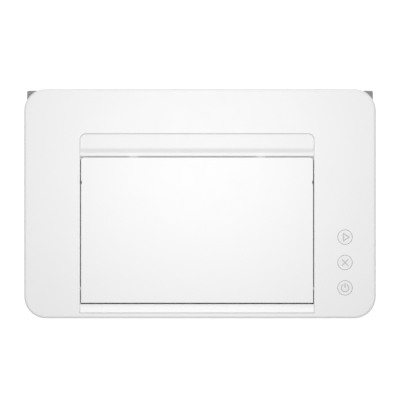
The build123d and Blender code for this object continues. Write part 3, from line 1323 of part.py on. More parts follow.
def motor_pinion():
    shaft = rod_x(MOTOR_AT, THIN_SHAFT_R, (BRACKET_OUT_X - MOTOR_FLANGE_T, LEFT_GEARS_X - GEAR_W))
    return left_gear(MOTOR_TEETH, MOTOR_AT, MOTOR_PHASE) + shaft


def bracket_posts():
    low, high = BRACKET_Z[0] + BRACKET_MARGIN, BRACKET_Z[1] - BRACKET_MARGIN
    front, rear = BRACKET_Y[0] + BRACKET_MARGIN, BRACKET_Y[1] - BRACKET_POST_R - ROOM
    above_drum = DRUM_AT[1] + BRACKET_POST_R + BRACKET_MARGIN
    return [(front, low), (rear, low - ROOM), (front, high), (rear, above_drum)]


def drive_bracket():
    """The steel plate outside the gears, on four posts from the engine frame."""
    x = (BRACKET_OUT_X, BRACKET_X)
    plate = block(x, BRACKET_Y, BRACKET_Z) + block(x, BRACKET_HIGH_Y, BRACKET_HIGH_Z)
    for at in (DRUM_AT, FEED_AT, HEAT_AT, EXIT_AT, CARRIER_AT, REDUCTION_AT):
        plate -= rod_x(at, SHAFT_R + SHAFT_GAP, longer(x))
    plate -= rod_x(MOTOR_AT, MOTOR_BOSS_R, longer(x))
    for at in bracket_posts():
        plate += rod_x(at, BRACKET_POST_R, (BRACKET_X, PAPER_X - PLATE_OUT))
    return plate


def drive_motor():
    """The main motor, its flange against the bracket, hollow where the pinion's shaft turns."""
    can = rod_x(MOTOR_AT, MOTOR_R, (BRACKET_OUT_X - MOTOR_L, BRACKET_OUT_X))
    can = fillet(can.faces().sort_by(Axis.X)[0].edges(), MOTOR_EDGE_R)
    flange_y = spread(MOTOR_AT[0], MOTOR_FLANGE_W)
    flange_z = spread(MOTOR_AT[1], MOTOR_FLANGE_H)
    can += block((BRACKET_OUT_X - MOTOR_FLANGE_T, BRACKET_OUT_X), flange_y, flange_z)
    hollow = (BRACKET_OUT_X - MOTOR_FLANGE_T - ROOM, BRACKET_OUT_X + PAST)
    return can - rod_x(MOTOR_AT, THIN_SHAFT_R + SHAFT_GAP, hollow)


# Toner cartridge

def from_drum(steps):
    return [(DRUM_AT[0] + y, DRUM_AT[1] + z) for y, z in steps]


def toner_cartridge():
    """The toner hopper, open at both ends for its caps, with a ribbed grip on top."""
    x = about_paper(CARTRIDGE_HALF)
    outer = polygon(from_drum(CARTRIDGE_UNDER + CARTRIDGE_THROAT + CARTRIDGE_OVER))
    inner = offset(outer, amount=-CARTRIDGE_WALL, kind=Kind.INTERSECTION)
    body = along_x(outer, x) - along_x(inner, longer(x))
    y = [DRUM_AT[0] + step for step in GRIP_BAR_RUN]
    z = (CARTRIDGE_TOP_Z, CARTRIDGE_TOP_Z + GRIP_BAR_H)
    grip = block(about_paper(GRIP_BAR_HALF), y, z)
    grip = fillet(grip.edges().filter_by(Axis.X).group_by(Axis.Z)[-1], GRIP_BAR_R)
    hollow_y = (y[0] + CARTRIDGE_WALL, y[1] - CARTRIDGE_WALL)
    hollow_z = (z[0] - PAST, z[1] - CARTRIDGE_WALL)
    grip -= block(about_paper(GRIP_BAR_HALF - CARTRIDGE_WALL), hollow_y, hollow_z)
    for n in range(GRIP_BAR_RIBS):
        rib_x = spread(PAPER_X + (n - (GRIP_BAR_RIBS - 1) / 2) * GRIP_RIB_PITCH, CARTRIDGE_WALL)
        grip += block(rib_x, (y[0] - GRIP_RIB_H, y[0]), (z[0], z[1] - GRIP_BAR_R))
    return body + grip


def cartridge_ends():
    """The cartridge's two end caps, which also carry the drum."""
    outline = from_drum(CARTRIDGE_UNDER + CAP_NOSE + CARTRIDGE_OVER)
    caps = []
    for sign in (-1, 1):
        x = (PAPER_X + sign * CARTRIDGE_HALF, PAPER_X + sign * (PLATE_IN - CARTRIDGE_CAP_GAP))
        drum_hole = SHAFT_R + SHAFT_GAP if sign < 0 else CAP_HOLE_R
        cap = slab_x(outline, x) - rod_x(DRUM_AT, drum_hole, longer(x))
        caps.append(cap - rod_x(TRANSFER_AT, pitch_radius(TRANSFER_TEETH) + CAP_GEAR_GAP, longer(x)))
    return Compound(caps)


# Laser scanner

def scanner_shelf():
    """The steel shelf across the engine that carries the scanner, with its rear edge turned up."""
    half = PLATE_IN - SHAFT_GAP
    y = (SCANNER_Y[0] - SHELF_EDGE, SCANNER_Y[1] + SHELF_EDGE)
    shelf = block(about_paper(half), y, (SCANNER_Z - SHELF_T, SCANNER_Z))
    return shelf + block(about_paper(half), (y[1] - SHELF_T, y[1]), (SCANNER_Z, SCANNER_Z + SHELF_LIP_H))


def scanner_housing():
    """The moulded box of the scanner, with its exit window and the seat of the mirror's motor."""
    z = (SCANNER_Z, SCANNER_Z + SCANNER_H)
    box = block(about_paper(SCANNER_HALF), SCANNER_Y, z)
    inside_y = (SCANNER_Y[0] + SCANNER_WALL, SCANNER_Y[1] - SCANNER_WALL)
    box -= block(about_paper(SCANNER_HALF - SCANNER_WALL), inside_y, (SCANNER_FLOOR, z[1] + PAST))
    window_z = (SCANNER_Z + BEAM_LOW, SCANNER_Z + BEAM_LOW + BEAM_H)
    box -= block(about_paper(SCANNER_HALF - BEAM_END), longer((inside_y[1], SCANNER_Y[1])), window_z)
    seat_z = SCANNER_FLOOR + MIRROR_MOTOR_H
    box += rod_z(*POLYGON_AT, MIRROR_MOTOR_R, (SCANNER_FLOOR, seat_z))
    return box + rod_z(*POLYGON_AT, MIRROR_PIN_R, (seat_z, seat_z + MIRROR_PIN_H))


def scanner_lid():
    z = SCANNER_Z + SCANNER_H
    lid = block(about_paper(SCANNER_HALF), SCANNER_Y, (z, z + SCANNER_LID_T))
    panel_z = (z + SCANNER_LID_T, z + SCANNER_LID_T + LID_PANEL_H)
    for n in range(LID_PANELS):
        x = PAPER_X + (n - (LID_PANELS - 1) / 2) * LID_PANEL_PITCH
        lid += block(spread(x, LID_PANEL_W), spread(POLYGON_AT[1], LID_PANEL_L), panel_z)
    return lid


def scanner_lens():
    """The long scan lens across the beam, on the housing's floor."""
    ends = [(-LENS_HALF, 0), (LENS_HALF, 0), (LENS_HALF, LENS_EDGE), (-LENS_HALF, LENS_EDGE)]
    outline = [
        Line(ends[0], ends[1]),
        Line(ends[1], ends[2]),
        ThreePointArc(ends[2], (0, LENS_MIDDLE), ends[3]),
        Line(ends[3], ends[0]),
    ]
    y = POLYGON_AT[1] + LENS_RUN
    return Pos(PAPER_X, y, SCANNER_FLOOR) * extrude(make_face(Wire(outline)), amount=LENS_H)


def polygon_mirror():
    """The six-sided mirror that turns on the scanner motor's pin."""
    low = SCANNER_FLOOR + MIRROR_MOTOR_H + FACE_GAP
    mirror = Pos(*POLYGON_AT, low) * extrude(RegularPolygon(POLYGON_R, 6), amount=POLYGON_H)
    mirror += rod_z(*POLYGON_AT, POLYGON_HUB_R, (low, low + POLYGON_HUB_H))
    return mirror - rod_z(*POLYGON_AT, MIRROR_PIN_R + SHAFT_GAP, (low - PAST, low + MIRROR_PIN_H))


# Fuser cover and exit guide

def fuser_frame():
    """The metal cover round the fusing rollers, in two halves with the paper's way between them."""
    wall = FUSER_WALL
    front = HEAT_AT[0] - HEAT_R - FUSER_FRONT_GAP
    rear = PRESSURE_AT[0] + PRESSURE_R + FUSER_REAR_GAP
    low = HEAT_AT[1] - HEAT_R - FUSER_LOW_GAP
    top = HEAT_AT[1] + HEAT_R + FUSER_TOP_GAP
    mouth_front = HEAT_AT[0] + FUSER_MOUTH_FRONT
    mouth_rear = PRESSURE_AT[0] - FUSER_MOUTH_REAR
    inner_bevel = FUSER_BEVEL + wall * (math.sqrt(2) - 1)
    front_half = [
        (front, low),
        (front + wall, low),
        (front + wall, top - wall),
        (mouth_front, top - wall),
        (mouth_front, top),
        (front, top),
    ]
    rear_half = [
        (rear - wall, low),
        (rear, low),
        (rear, top - FUSER_BEVEL),
        (rear - FUSER_BEVEL, top),
        (mouth_rear, top),
        (mouth_rear, top - wall),
        (rear - inner_bevel, top - wall),
        (rear - wall, top - inner_bevel),
    ]
    x = about_paper(PLATE_IN - FACE_GAP)
    return Compound([slab_x(front_half, x), slab_x(rear_half, x)])


def exit_guide():
    """The curved guide that turns the paper forward to the exit rollers."""
    centre = (EXIT_IDLER_AT[0] + TURN_RUN, HEAT_AT[1] + HEAT_R + TURN_RISE)
    low, middle, top = [beside(centre, TURN_R, degrees) for degrees in TURN_DEGS]
    out_low, out_middle, out_top = [beside(centre, TURN_R + TURN_WALL, degrees) for degrees in TURN_DEGS]
    outline = [
        ThreePointArc(low, middle, top),
        Line(top, out_top),
        ThreePointArc(out_top, out_middle, out_low),
        Line(out_low, low),
    ]
    return along_x(make_face(Wire(outline)), about_paper(PLATE_IN - FACE_GAP))


# Electronics

def circuit_board(y, z, components):
    """An upright board on four stand-offs beside the right frame plate, with its larger components."""
    board = block((BOARD_X, BOARD_FACE_X), y, z)
    rear_standoff = min(y[1], ENGINE_REAR_Y) - STANDOFF_INSET
    for at_y in (y[0] + STANDOFF_INSET, rear_standoff):
        for at_z in (z[0] + STANDOFF_INSET, z[1] - STANDOFF_INSET):
            board += rod_x((at_y, at_z), STANDOFF_R, (PAPER_X + PLATE_OUT, BOARD_X))
    for at_y, at_z, length, height, thickness in components:
        component_y = spread(y[0] + at_y, length)
        component_z = spread(z[0] + at_z, height)
        board += block((BOARD_FACE_X, BOARD_FACE_X + thickness), component_y, component_z)
    return board


def main_board():
    rear = REAR_Y - BOARD_REAR_INSET
    return circuit_board((rear - MAIN_BOARD_L, rear), MAIN_BOARD_Z, MAIN_PARTS)


def power_board():
    rear = REAR_Y - POWER_BOARD_REAR_INSET
    return circuit_board((rear - POWER_BOARD_L, rear), POWER_BOARD_Z, POWER_PARTS)


# Fan

def fan_frame():
    """The fan's square duct inside the left air slots, with its hub's plate on four arms."""
    y, z = FAN_AT
    duct = block(FAN_X, spread(y, FAN_SIZE), spread(z, FAN_SIZE))
    duct -= rod_x(FAN_AT, FAN_SIZE / 2 - FAN_BORE_WALL, longer(FAN_X))
    plate_x = (FAN_X[1] - FAN_BORE_WALL, FAN_X[1])
    duct += rod_x(FAN_AT, FAN_HUB_R, plate_x)
    duct += block(plate_x, spread(y, FAN_SIZE - FAN_BORE_WALL), spread(z, FAN_ARM_W))
    duct += block(plate_x, spread(y, FAN_ARM_W), spread(z, FAN_SIZE - FAN_BORE_WALL))
    return duct + rod_x(FAN_AT, THIN_SHAFT_R, (FAN_X[1] - FAN_PIN_L, FAN_X[1]))


def fan_rotor():
    """The fan's hub and twisted blades."""
    hub_x = (FAN_X[0] + ROOM, FAN_X[0] + ROOM + FAN_HUB_L)
    middle = sum(hub_x) / 2
    tip = FAN_SIZE / 2 - FAN_BORE_WALL - FAN_TIP_GAP
    blade = block(spread(middle, FAN_BLADE_W), (FAN_HUB_R - ROOM, tip), spread(0, FAN_BLADE_T))
    blade = blade.rotate(Axis((middle, 0, 0), (0, 1, 0)), FAN_TWIST_DEG)
    rotor = rod_x(FAN_AT, FAN_HUB_R, hub_x)
    for n in range(FAN_BLADES):
        rotor += Pos(0, *FAN_AT) * blade.rotate(Axis.X, n * 360 / FAN_BLADES)
    bore_x = (FAN_X[1] - FAN_PIN_L - JOINT_GAP, hub_x[1] + PAST)
    return rotor - rod_x(FAN_AT, THIN_SHAFT_R + SHAFT_GAP, bore_x)


NODES = {
    "top_cover": top_cover,
    "output_tray": output_tray,
    "output_flap": output_flap,
    "button_board": button_board,
    "power_button": lambda: button(0),
    "cancel_button": lambda: button(1),
    "resume_button": lambda: button(2),
    "front_door": front_door,
    "door_tray": door_tray,
    "left_side_cover": lambda: side_cover(-1),
    "right_side_cover": lambda: side_cover(1),
    "rear_frame": rear_frame,
    "case_screws": case_screws,
    "power_inlet": power_inlet,
    "usb_port": usb_port,
    "rear_cover": rear_cover,
    "base_frame": base_frame,
    "rubber_feet": rubber_feet,
    "left_frame_plate": lambda: frame_plate(-1),
    "right_frame_plate": lambda: frame_plate(1),
    "roller_bushes": roller_bushes,
    "inner_panel": inner_panel,
    "tray_plate": tray_plate,
    "left_paper_guide": lambda: paper_guide(-1),
    "right_paper_guide": lambda: paper_guide(1),
    "guide_pinion": guide_pinion,
    "lift_plate": lift_plate,
    "lift_spring": lift_spring,
    "separation_pad": separation_pad,
    "pickup_shaft": pickup_shaft,
    "pickup_tyre": pickup_tyre,
    "opc_drum": opc_drum,
    "drum_gear": drum_gear,
    "transfer_roller": transfer_roller,
    "feed_roller": feed_roller,
    "pinch_roller": pinch_roller,
    "heat_roller": heat_roller,
    "pressure_roller": pressure_roller,
    "exit_roller": exit_roller,
    "exit_idlers": exit_idlers,
    "carrier_gear": carrier_gear,
    "reduction_gear": reduction_gear,
    "motor_pinion": motor_pinion,
    "drive_bracket": drive_bracket,
    "drive_motor": drive_motor,
    "toner_cartridge": toner_cartridge,
    "cartridge_ends": cartridge_ends,
    "scanner_shelf": scanner_shelf,
    "scanner_housing": scanner_housing,
    "scanner_lid": scanner_lid,
    "scanner_lens": scanner_lens,
    "polygon_mirror": polygon_mirror,
    "fuser_frame": fuser_frame,
    "exit_guide": exit_guide,
    "main_board": main_board,
    "power_board": power_board,
    "fan_frame": fan_frame,
    "fan_rotor": fan_rotor,
}


def main():
    os.makedirs("parts", exist_ok=True)
    for name, make in NODES.items():
        export_step(make(), f"parts/{name}.step")


if __name__ == "__main__":
    main()
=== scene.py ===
import json
import math

import bpy
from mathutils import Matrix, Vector


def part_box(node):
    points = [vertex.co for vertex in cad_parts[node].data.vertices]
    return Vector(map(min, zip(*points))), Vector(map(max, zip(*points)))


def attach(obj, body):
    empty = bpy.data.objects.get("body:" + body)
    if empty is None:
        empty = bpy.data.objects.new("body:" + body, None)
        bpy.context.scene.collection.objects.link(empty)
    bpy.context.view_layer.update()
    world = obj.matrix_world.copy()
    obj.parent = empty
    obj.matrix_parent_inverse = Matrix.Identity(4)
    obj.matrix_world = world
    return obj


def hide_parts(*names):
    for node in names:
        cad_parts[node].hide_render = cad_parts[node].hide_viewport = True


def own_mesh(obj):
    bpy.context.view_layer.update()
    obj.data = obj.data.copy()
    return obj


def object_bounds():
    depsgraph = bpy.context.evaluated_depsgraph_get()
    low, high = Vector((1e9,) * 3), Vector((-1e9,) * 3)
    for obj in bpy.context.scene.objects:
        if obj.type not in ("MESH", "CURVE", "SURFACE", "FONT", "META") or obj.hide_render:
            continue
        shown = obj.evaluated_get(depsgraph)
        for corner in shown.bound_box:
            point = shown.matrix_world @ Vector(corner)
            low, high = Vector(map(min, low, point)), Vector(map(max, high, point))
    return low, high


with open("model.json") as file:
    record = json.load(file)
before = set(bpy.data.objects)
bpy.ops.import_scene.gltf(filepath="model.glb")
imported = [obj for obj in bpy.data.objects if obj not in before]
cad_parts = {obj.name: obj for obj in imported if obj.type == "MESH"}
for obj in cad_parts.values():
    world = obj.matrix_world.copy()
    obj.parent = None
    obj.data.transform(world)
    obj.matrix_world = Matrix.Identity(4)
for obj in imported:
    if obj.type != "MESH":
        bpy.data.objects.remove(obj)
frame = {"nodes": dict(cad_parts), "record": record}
CAD_BOUNDS = [list(corner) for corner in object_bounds()]
LOW, HIGH = (Vector(corner) for corner in CAD_BOUNDS)
MM = 0.001

# Camera: straight above the case, as in the photograph
CAMERA_ABOVE = 2.4
CAMERA_Y = 3.4 * MM
SEEN_WIDTH = 376.15 * MM
SENSOR_WIDTH = 36.0

# Light: each lamp's place, size and power, and the world's strength as it lights and as it is seen
OVERHEAD_LAMP = ((0.0, 0.05, 0.70), 0.22, 1.27)
REAR_LAMP = ((0.0, 1.9, 1.1), 1.2, 8.0)
WORLD_LIGHT = 0.62
SEEN_WORLD = 1.0

# Floor
FLOOR_SIZE = 12.0
FLOOR_SINK = 0.02 * MM
FLOOR_GLOW = 0.72
FLOOR_PATCH = 0.4
FLOOR_DARKER = (0.80, 0.80, 0.80, 1.0)
FLOOR_PALER = (0.83, 0.83, 0.83, 1.0)

# Edges: bevel samples, the dot product of rounded and flat normals on a whole edge, and radii
BEVEL_SAMPLES = 4
EDGE_DOT = 0.86
METAL_ROUND = 0.3 * MM
RUBBER_ROUND = 0.4 * MM

# Circuit boards: tracks and plated holes
TRACK_SCALE = 120.0
TRACK_GAP = 0.06
TRACK_ROW = 0.3
HOLE_PITCH = 5 * MM
TIN = (0.62, 0.60, 0.55, 1.0)
BARE_EDGE = (0.42, 0.40, 0.22, 1.0)

# Button icons
STROKE = 1.1 * MM
INK_HEIGHT = 0.05 * MM
INK_STEP = 0.01 * MM
RING_R = 3.45 * MM
RING_GAP_DEG = 26.0
BAR_TOP = 4.4 * MM
BAR_FOOT = -0.1 * MM
CROSS_HALF = 3.0 * MM
ARROW_BACK = -1.5 * MM
ARROW_TIP = 3.9 * MM
ARROW_HALF = 3.4 * MM
ROUND_STEPS = 48
LEAST_MITRE = 0.4

# Painted faces: the tray's slope in front of the flap (painted highlight), the boards' parts and the sockets'
# contacts
RAMP_REACH = 18.0 * MM
RAMP_DEPTH = 4.0 * MM
RAMP_UP = 0.8
RAMP_BACK = 0.1
FACING = 0.9
PART_RISE = 0.2 * MM
INNER_MARGIN = 5.0 * MM
MOUTH_MARGIN = 1.0 * MM
BLADES_HALF = (9.5 * MM, 4.75 * MM)
TONGUE_HALF = (3.0 * MM, 2.0 * MM)
BOARD_PARTS = {
    "main_board": ["chip", "chip", "connector", "connector", "chip"],
    "power_board": ["winding_tape", "capacitor", "connector", "chip", "connector"],
}

# Lift spring
SPRING_R = 5.4 * MM
SPRING_WIRE_R = 0.6 * MM
SPRING_TURNS = 6
SPRING_STEPS = 28
SPRING_FLAT_TURNS = 0.8
SPRING_BEVEL = 3


# Node helpers

class Look:
    """A material being built: its node tree and its main shader."""

    def __init__(self, name, **constants):
        self.material = bpy.data.materials.new(name)
        self.material.use_nodes = True
        self.tree = self.material.node_tree
        self.tree.nodes.clear()
        self.shader = self.node("ShaderNodeBsdfPrincipled", constants)
        self.node("ShaderNodeOutputMaterial", {"Surface": self.shader.outputs["BSDF"]})
        self.where = self.node("ShaderNodeTexCoord").outputs["Object"]

    def node(self, kind, inputs=None, **settings):
        """A new node, its inputs linked to other nodes' outputs or set to values."""
        made = self.tree.nodes.new(kind)
        for key, value in settings.items():
            setattr(made, key, value)
        for key, value in (inputs or {}).items():
            if isinstance(value, bpy.types.NodeSocket):
                self.tree.links.new(value, made.inputs[key])
            else:
                made.inputs[key].default_value = value
        return made

    def stretched(self, scale):
        """The surface's own coordinates, stretched by a factor on each axis."""
        return self.node("ShaderNodeMapping", {"Vector": self.where, "Scale": scale}).outputs["Vector"]

    def noise(self, size, detail=2.0, scale=(1, 1, 1)):
        """Cloudy values between 0 and 1 whose blobs are about one size, in metres."""
        inputs = {"Vector": self.stretched(scale), "Scale": 1.0 / size, "Detail": detail}
        return self.node("ShaderNodeTexNoise", inputs).outputs["Fac"]

    def cells(self, size, output="Distance"):
        """The distance to the nearest cell's point, or another output, with cells of about one size."""
        inputs = {"Vector": self.where, "Scale": 1.0 / size}
        return self.node("ShaderNodeTexVoronoi", inputs).outputs[output]

    def remap(self, value, start, end, low=0.0, high=1.0):
        """The value moved from the range start to end into low to high, and clamped."""
        inputs = {"Value": value, "From Min": start, "From Max": end, "To Min": low, "To Max": high}
        return self.node("ShaderNodeMapRange", inputs, clamp=True).outputs["Result"]

    def math(self, operation, a, b):
        return self.node("ShaderNodeMath", {0: a, 1: b}, operation=operation).outputs["Value"]

    def mix(self, factor, a, b):
        """A blend of two colours, each a tuple or another node's output."""
        return self.node("ShaderNodeMix", {0: factor, 6: a, 7: b}, data_type="RGBA").outputs[2]

    def bevel(self, radius):
        """The surface's normal, rounded near its edges."""
        return self.node("ShaderNodeBevel", {"Radius": radius}, samples=BEVEL_SAMPLES).outputs["Normal"]

    def edges(self, radius):
        """1 on edges and 0 on open faces."""
        face = self.node("ShaderNodeNewGeometry").outputs["Normal"]
        dot = self.node("ShaderNodeVectorMath", {0: self.bevel(radius), 1: face}, operation="DOT_PRODUCT")
        return self.remap(dot.outputs["Value"], 1.0, EDGE_DOT)

    def bump(self, height, distance, normal=None):
        """A normal with relief of a height, in metres, laid over another normal."""
        inputs = {"Height": height, "Distance": distance, "Strength": 1.0}
        if normal is not None:
            inputs["Normal"] = normal
        return self.node("ShaderNodeBump", inputs).outputs["Normal"]

    def wear(self, colour, roughness, normal):
        """Gives the main shader its three maps and returns the finished material."""
        for key, value in (("Base Color", colour), ("Roughness", roughness), ("Normal", normal)):
            self.tree.links.new(value, self.shader.inputs[key])
        return self.material


def shade(colour, factor):
    """A darker or lighter colour, opaque."""
    return tuple(min(1.0, part * factor) for part in colour) + (1.0,)


# Materials

def moulded(
    name, colour, roughness, grain=0.4 * MM, depth=0.03 * MM, round_r=0.5 * MM, edge=0.9, tone=0.03, haze=0.06
):
    """Injection-moulded plastic: spark-eroded grain, faint flow marks, handling marks and edges shifted
    lighter or darker.

    Edges lean towards the colour times edge. The colour varies by tone, and the roughness by haze.
    """
    look = Look(name, **{"Specular IOR Level": 0.45})
    flow = look.remap(look.noise(110 * MM, 3.0), 0.3, 0.7)
    marks = look.noise(14 * MM, 6.0)
    base = look.mix(flow, shade(colour, 1.0 - tone), shade(colour, 1.0 + tone / 3))
    base = look.mix(look.remap(marks, 0.58, 0.72, 0.0, 0.25), base, shade(colour, 1.0 - 1.5 * tone))
    rim = look.math("MULTIPLY", look.edges(round_r), look.remap(marks, 0.3, 0.7, 0.4, 0.65))
    base = look.mix(rim, base, shade(colour, edge))
    rough = look.remap(marks, 0.35, 0.7, roughness - haze, roughness + haze)
    height = look.noise(grain, 3.0)
    return look.wear(base, rough, look.bump(height, depth, look.bevel(round_r)))


def rubber(name, colour):
    """Ground rubber, a little dusty and lighter along its edges."""
    look = Look(name, **{"Specular IOR Level": 0.3})
    dust = look.noise(9 * MM, 5.0)
    base = look.mix(look.remap(dust, 0.4, 0.75), shade(colour, 0.8), shade(colour, 1.9))
    base = look.mix(look.math("MULTIPLY", look.edges(RUBBER_ROUND), 0.4), base, shade(colour, 2.4))
    rough = look.remap(dust, 0.3, 0.7, 0.68, 0.88)
    return look.wear(base, rough, look.bump(look.noise(0.5 * MM, 4.0), 0.05 * MM, look.bevel(RUBBER_ROUND)))


def foam(name, colour):
    """Conductive foam, with open cells painted dark in their hollows and light on their rims: painted shade
    and painted highlight.
    """
    look = Look(name, **{"Specular IOR Level": 0.2})
    cells = look.cells(0.8 * MM)
    # Painted shade in the cells' hollows and painted highlight on their rims
    base = look.mix(look.remap(cells, 0.1, 0.6), shade(colour, 0.5), shade(colour, 1.6))
    rough = look.remap(look.noise(12 * MM, 3.0), 0.3, 0.7, 0.82, 0.95)
    return look.wear(base, rough, look.bump(cells, 0.15 * MM))


def galvanised(name, colour):
    """Zinc-coated sheet: large crystals, fine rolling lines and bright cut edges."""
    look = Look(name, **{"Metallic": 1.0})
    crystal = look.cells(9 * MM, output="Color")
    value = look.node("ShaderNodeSeparateColor", {"Color": crystal}).outputs["Red"]
    base = look.mix(value, shade(colour, 0.82), shade(colour, 1.12))
    base = look.mix(look.math("MULTIPLY", look.edges(METAL_ROUND), 0.7), base, shade(colour, 1.35))
    rough = look.remap(value, 0.0, 1.0, 0.34, 0.52)
    lines = look.noise(1.2 * MM, 2.0, scale=(1, 0.05, 1))
    return look.wear(base, rough, look.bump(lines, 0.01 * MM, look.bevel(METAL_ROUND)))


def turned_metal(name, colour, roughness=0.28):
    """Ground or turned metal: fine lines across the X axis, small stains and bright edges."""
    look = Look(name, **{"Metallic": 1.0})
    stain = look.noise(16 * MM, 4.0)
    base = look.mix(look.remap(stain, 0.35, 0.7), shade(colour, 0.85), shade(colour, 1.08))
    base = look.mix(look.math("MULTIPLY", look.edges(METAL_ROUND), 0.6), base, shade(colour, 1.3))
    rough = look.remap(stain, 0.3, 0.7, roughness - 0.06, roughness + 0.1)
    lines = look.noise(0.5 * MM, 2.0, scale=(1, 0.04, 0.04))
    return look.wear(base, rough, look.bump(lines, 0.012 * MM, look.bevel(METAL_ROUND)))


def drum_coat(name, colour):
    """The photoconductor's glossy coat, with faint rings of wear at the paper's edges."""
    look = Look(name, **{"Metallic": 0.35, "Coat Weight": 0.8, "Coat Roughness": 0.06})
    rings = look.noise(6 * MM, 3.0, scale=(1, 0.02, 0.02))
    haze = look.noise(30 * MM, 4.0)
    base = look.mix(look.remap(rings, 0.42, 0.62), shade(colour, 0.88), shade(colour, 1.15))
    base = look.mix(look.math("MULTIPLY", look.edges(METAL_ROUND), 0.5), base, shade(colour, 1.8))
    rough = look.remap(haze, 0.3, 0.7, 0.12, 0.26)
    return look.wear(base, rough, look.bump(rings, 0.01 * MM, look.bevel(METAL_ROUND)))


def solder_mask(name, colour):
    """A circuit board's green coat over its tracks, with tinned holes."""
    look = Look(name, **{"Specular IOR Level": 0.6})
    turn = {"Vector": look.where, "Angle": math.pi / 2}
    flat = look.node("ShaderNodeVectorRotate", turn, rotation_type="Y_AXIS").outputs["Vector"]
    inputs = {"Vector": flat, "Scale": TRACK_SCALE, "Mortar Size": TRACK_GAP, "Row Height": TRACK_ROW}
    tracks = look.node("ShaderNodeTexBrick", inputs).outputs["Fac"]
    holes = look.remap(look.cells(HOLE_PITCH), 0.22, 0.16)
    base = look.mix(tracks, shade(colour, 0.8), shade(colour, 1.7))
    base = look.mix(holes, base, TIN)
    base = look.mix(look.math("MULTIPLY", look.edges(METAL_ROUND), 0.6), base, BARE_EDGE)
    rough = look.remap(look.noise(20 * MM, 4.0), 0.3, 0.7, 0.26, 0.42)
    return look.wear(base, rough, look.bump(tracks, 0.03 * MM, look.bevel(METAL_ROUND)))


def optical(name, colour, **constants):
    """Clear or mirrored optics, with a little dust."""
    look = Look(name, **constants)
    dust = look.noise(3 * MM, 6.0)
    base = look.mix(look.remap(dust, 0.6, 0.8, 0.0, 0.5), shade(colour, 1.0), shade(colour, 0.85))
    rough = look.remap(dust, 0.45, 0.8, 0.02, 0.14)
    return look.wear(base, rough, look.bump(dust, 0.002 * MM, look.bevel(0.2 * MM)))


def ink(name, colour):
    """Printed grey ink, a little uneven where the plastic's grain shows through."""
    look = Look(name, **{"Specular IOR Level": 0.4})
    grain = look.noise(0.4 * MM, 3.0)
    base = look.mix(look.remap(grain, 0.3, 0.7), shade(colour, 0.9), shade(colour, 1.12))
    rough = look.remap(grain, 0.3, 0.7, 0.45, 0.6)
    return look.wear(base, rough, look.bump(grain, 0.01 * MM))


MATERIALS = {
    "white_case": moulded("white_abs", (0.86, 0.86, 0.86), 0.42, edge=1.0, tone=0.014, haze=0.02),
    # The flap: a smoother finish, and a shade whiter than the case as a painted highlight
    "flap": moulded(
        "white_abs_flap_smooth_painted_highlight", (0.862, 0.862, 0.862), 0.38, depth=0.02 * MM, edge=1.0, tone=0.006, haze=0.01
    ),
    # The tray's front slope: a whiter copy of the case's plastic, a painted highlight for the light its tilt
    # catches
    "tray_slope_painted_highlight": moulded(
        "white_abs_slope_painted_highlight", (0.905, 0.905, 0.905), 0.36, edge=1.0, tone=0.006, haze=0.01
    ),
    "button_cap": moulded(
        "white_cap", (0.85, 0.85, 0.848), 0.36, grain=0.3 * MM, depth=0.012 * MM, edge=0.88
    ),
    "grey_case": moulded("grey_abs", (0.42, 0.43, 0.44), 0.5, depth=0.05 * MM, edge=1.12, tone=0.05),
    "grey_liner": moulded("grey_liner", (0.20, 0.205, 0.215), 0.52, depth=0.05 * MM, edge=1.3, tone=0.08),
    "dark_plastic": moulded("dark_abs", (0.030, 0.030, 0.033), 0.5, depth=0.05 * MM, edge=2.0, tone=0.2),
    "black_plastic": moulded("black_abs", (0.014, 0.014, 0.016), 0.4, depth=0.04 * MM, edge=2.6, tone=0.25),
    "pale_plastic": moulded(
        "acetal", (0.74, 0.72, 0.64), 0.33, grain=0.8 * MM, depth=0.008 * MM, edge=0.93, tone=0.06
    ),
    "rubber": rubber("rubber", (0.018, 0.018, 0.019)),
    "roller_foam": foam("roller_foam", (0.05, 0.05, 0.055)),
    "sheet_steel": galvanised("zinc_steel", (0.55, 0.56, 0.57)),
    "steel": turned_metal("ground_steel", (0.56, 0.56, 0.57)),
    "brass": turned_metal("brass", (0.70, 0.52, 0.24), 0.25),
    "drum_green": drum_coat("drum_coat", (0.03, 0.20, 0.17)),
    "circuit_board": solder_mask("solder_mask", (0.012, 0.09, 0.035)),
    "lens": optical("lens", (0.95, 0.97, 0.98), **{"Transmission Weight": 1.0, "IOR": 1.5}),
    "mirror": optical("mirror", (0.90, 0.90, 0.92), **{"Metallic": 1.0}),
    "ink": ink("grey_ink", (0.54, 0.54, 0.55)),
    "chip": moulded("chip_epoxy", (0.022, 0.022, 0.024), 0.5, edge=1.6, tone=0.15),
    "connector": moulded("connector_nylon", (0.62, 0.59, 0.50), 0.42, edge=0.9, tone=0.06),
    "winding_tape": moulded("winding_tape", (0.62, 0.42, 0.06), 0.38, edge=0.85, tone=0.08),
    "capacitor": moulded("capacitor_sleeve", (0.02, 0.05, 0.14), 0.3, edge=1.5, tone=0.12),
}


def paint_nodes():
    """Gives each CAD node the material of its slot in the record. The flap has a smoother finish and a shade
    whiter colour, which is a painted highlight.
    """
    slots = {entry["node"]: entry["material_slot"] for entry in frame["record"]["subparts"]}
    for name, piece in frame["nodes"].items():
        # The flap gets its smoother copy, a shade whiter as a painted highlight
        key = "flap" if name == "output_flap" else slots[name]
        piece.data.materials.clear()
        piece.data.materials.append(MATERIALS[key])


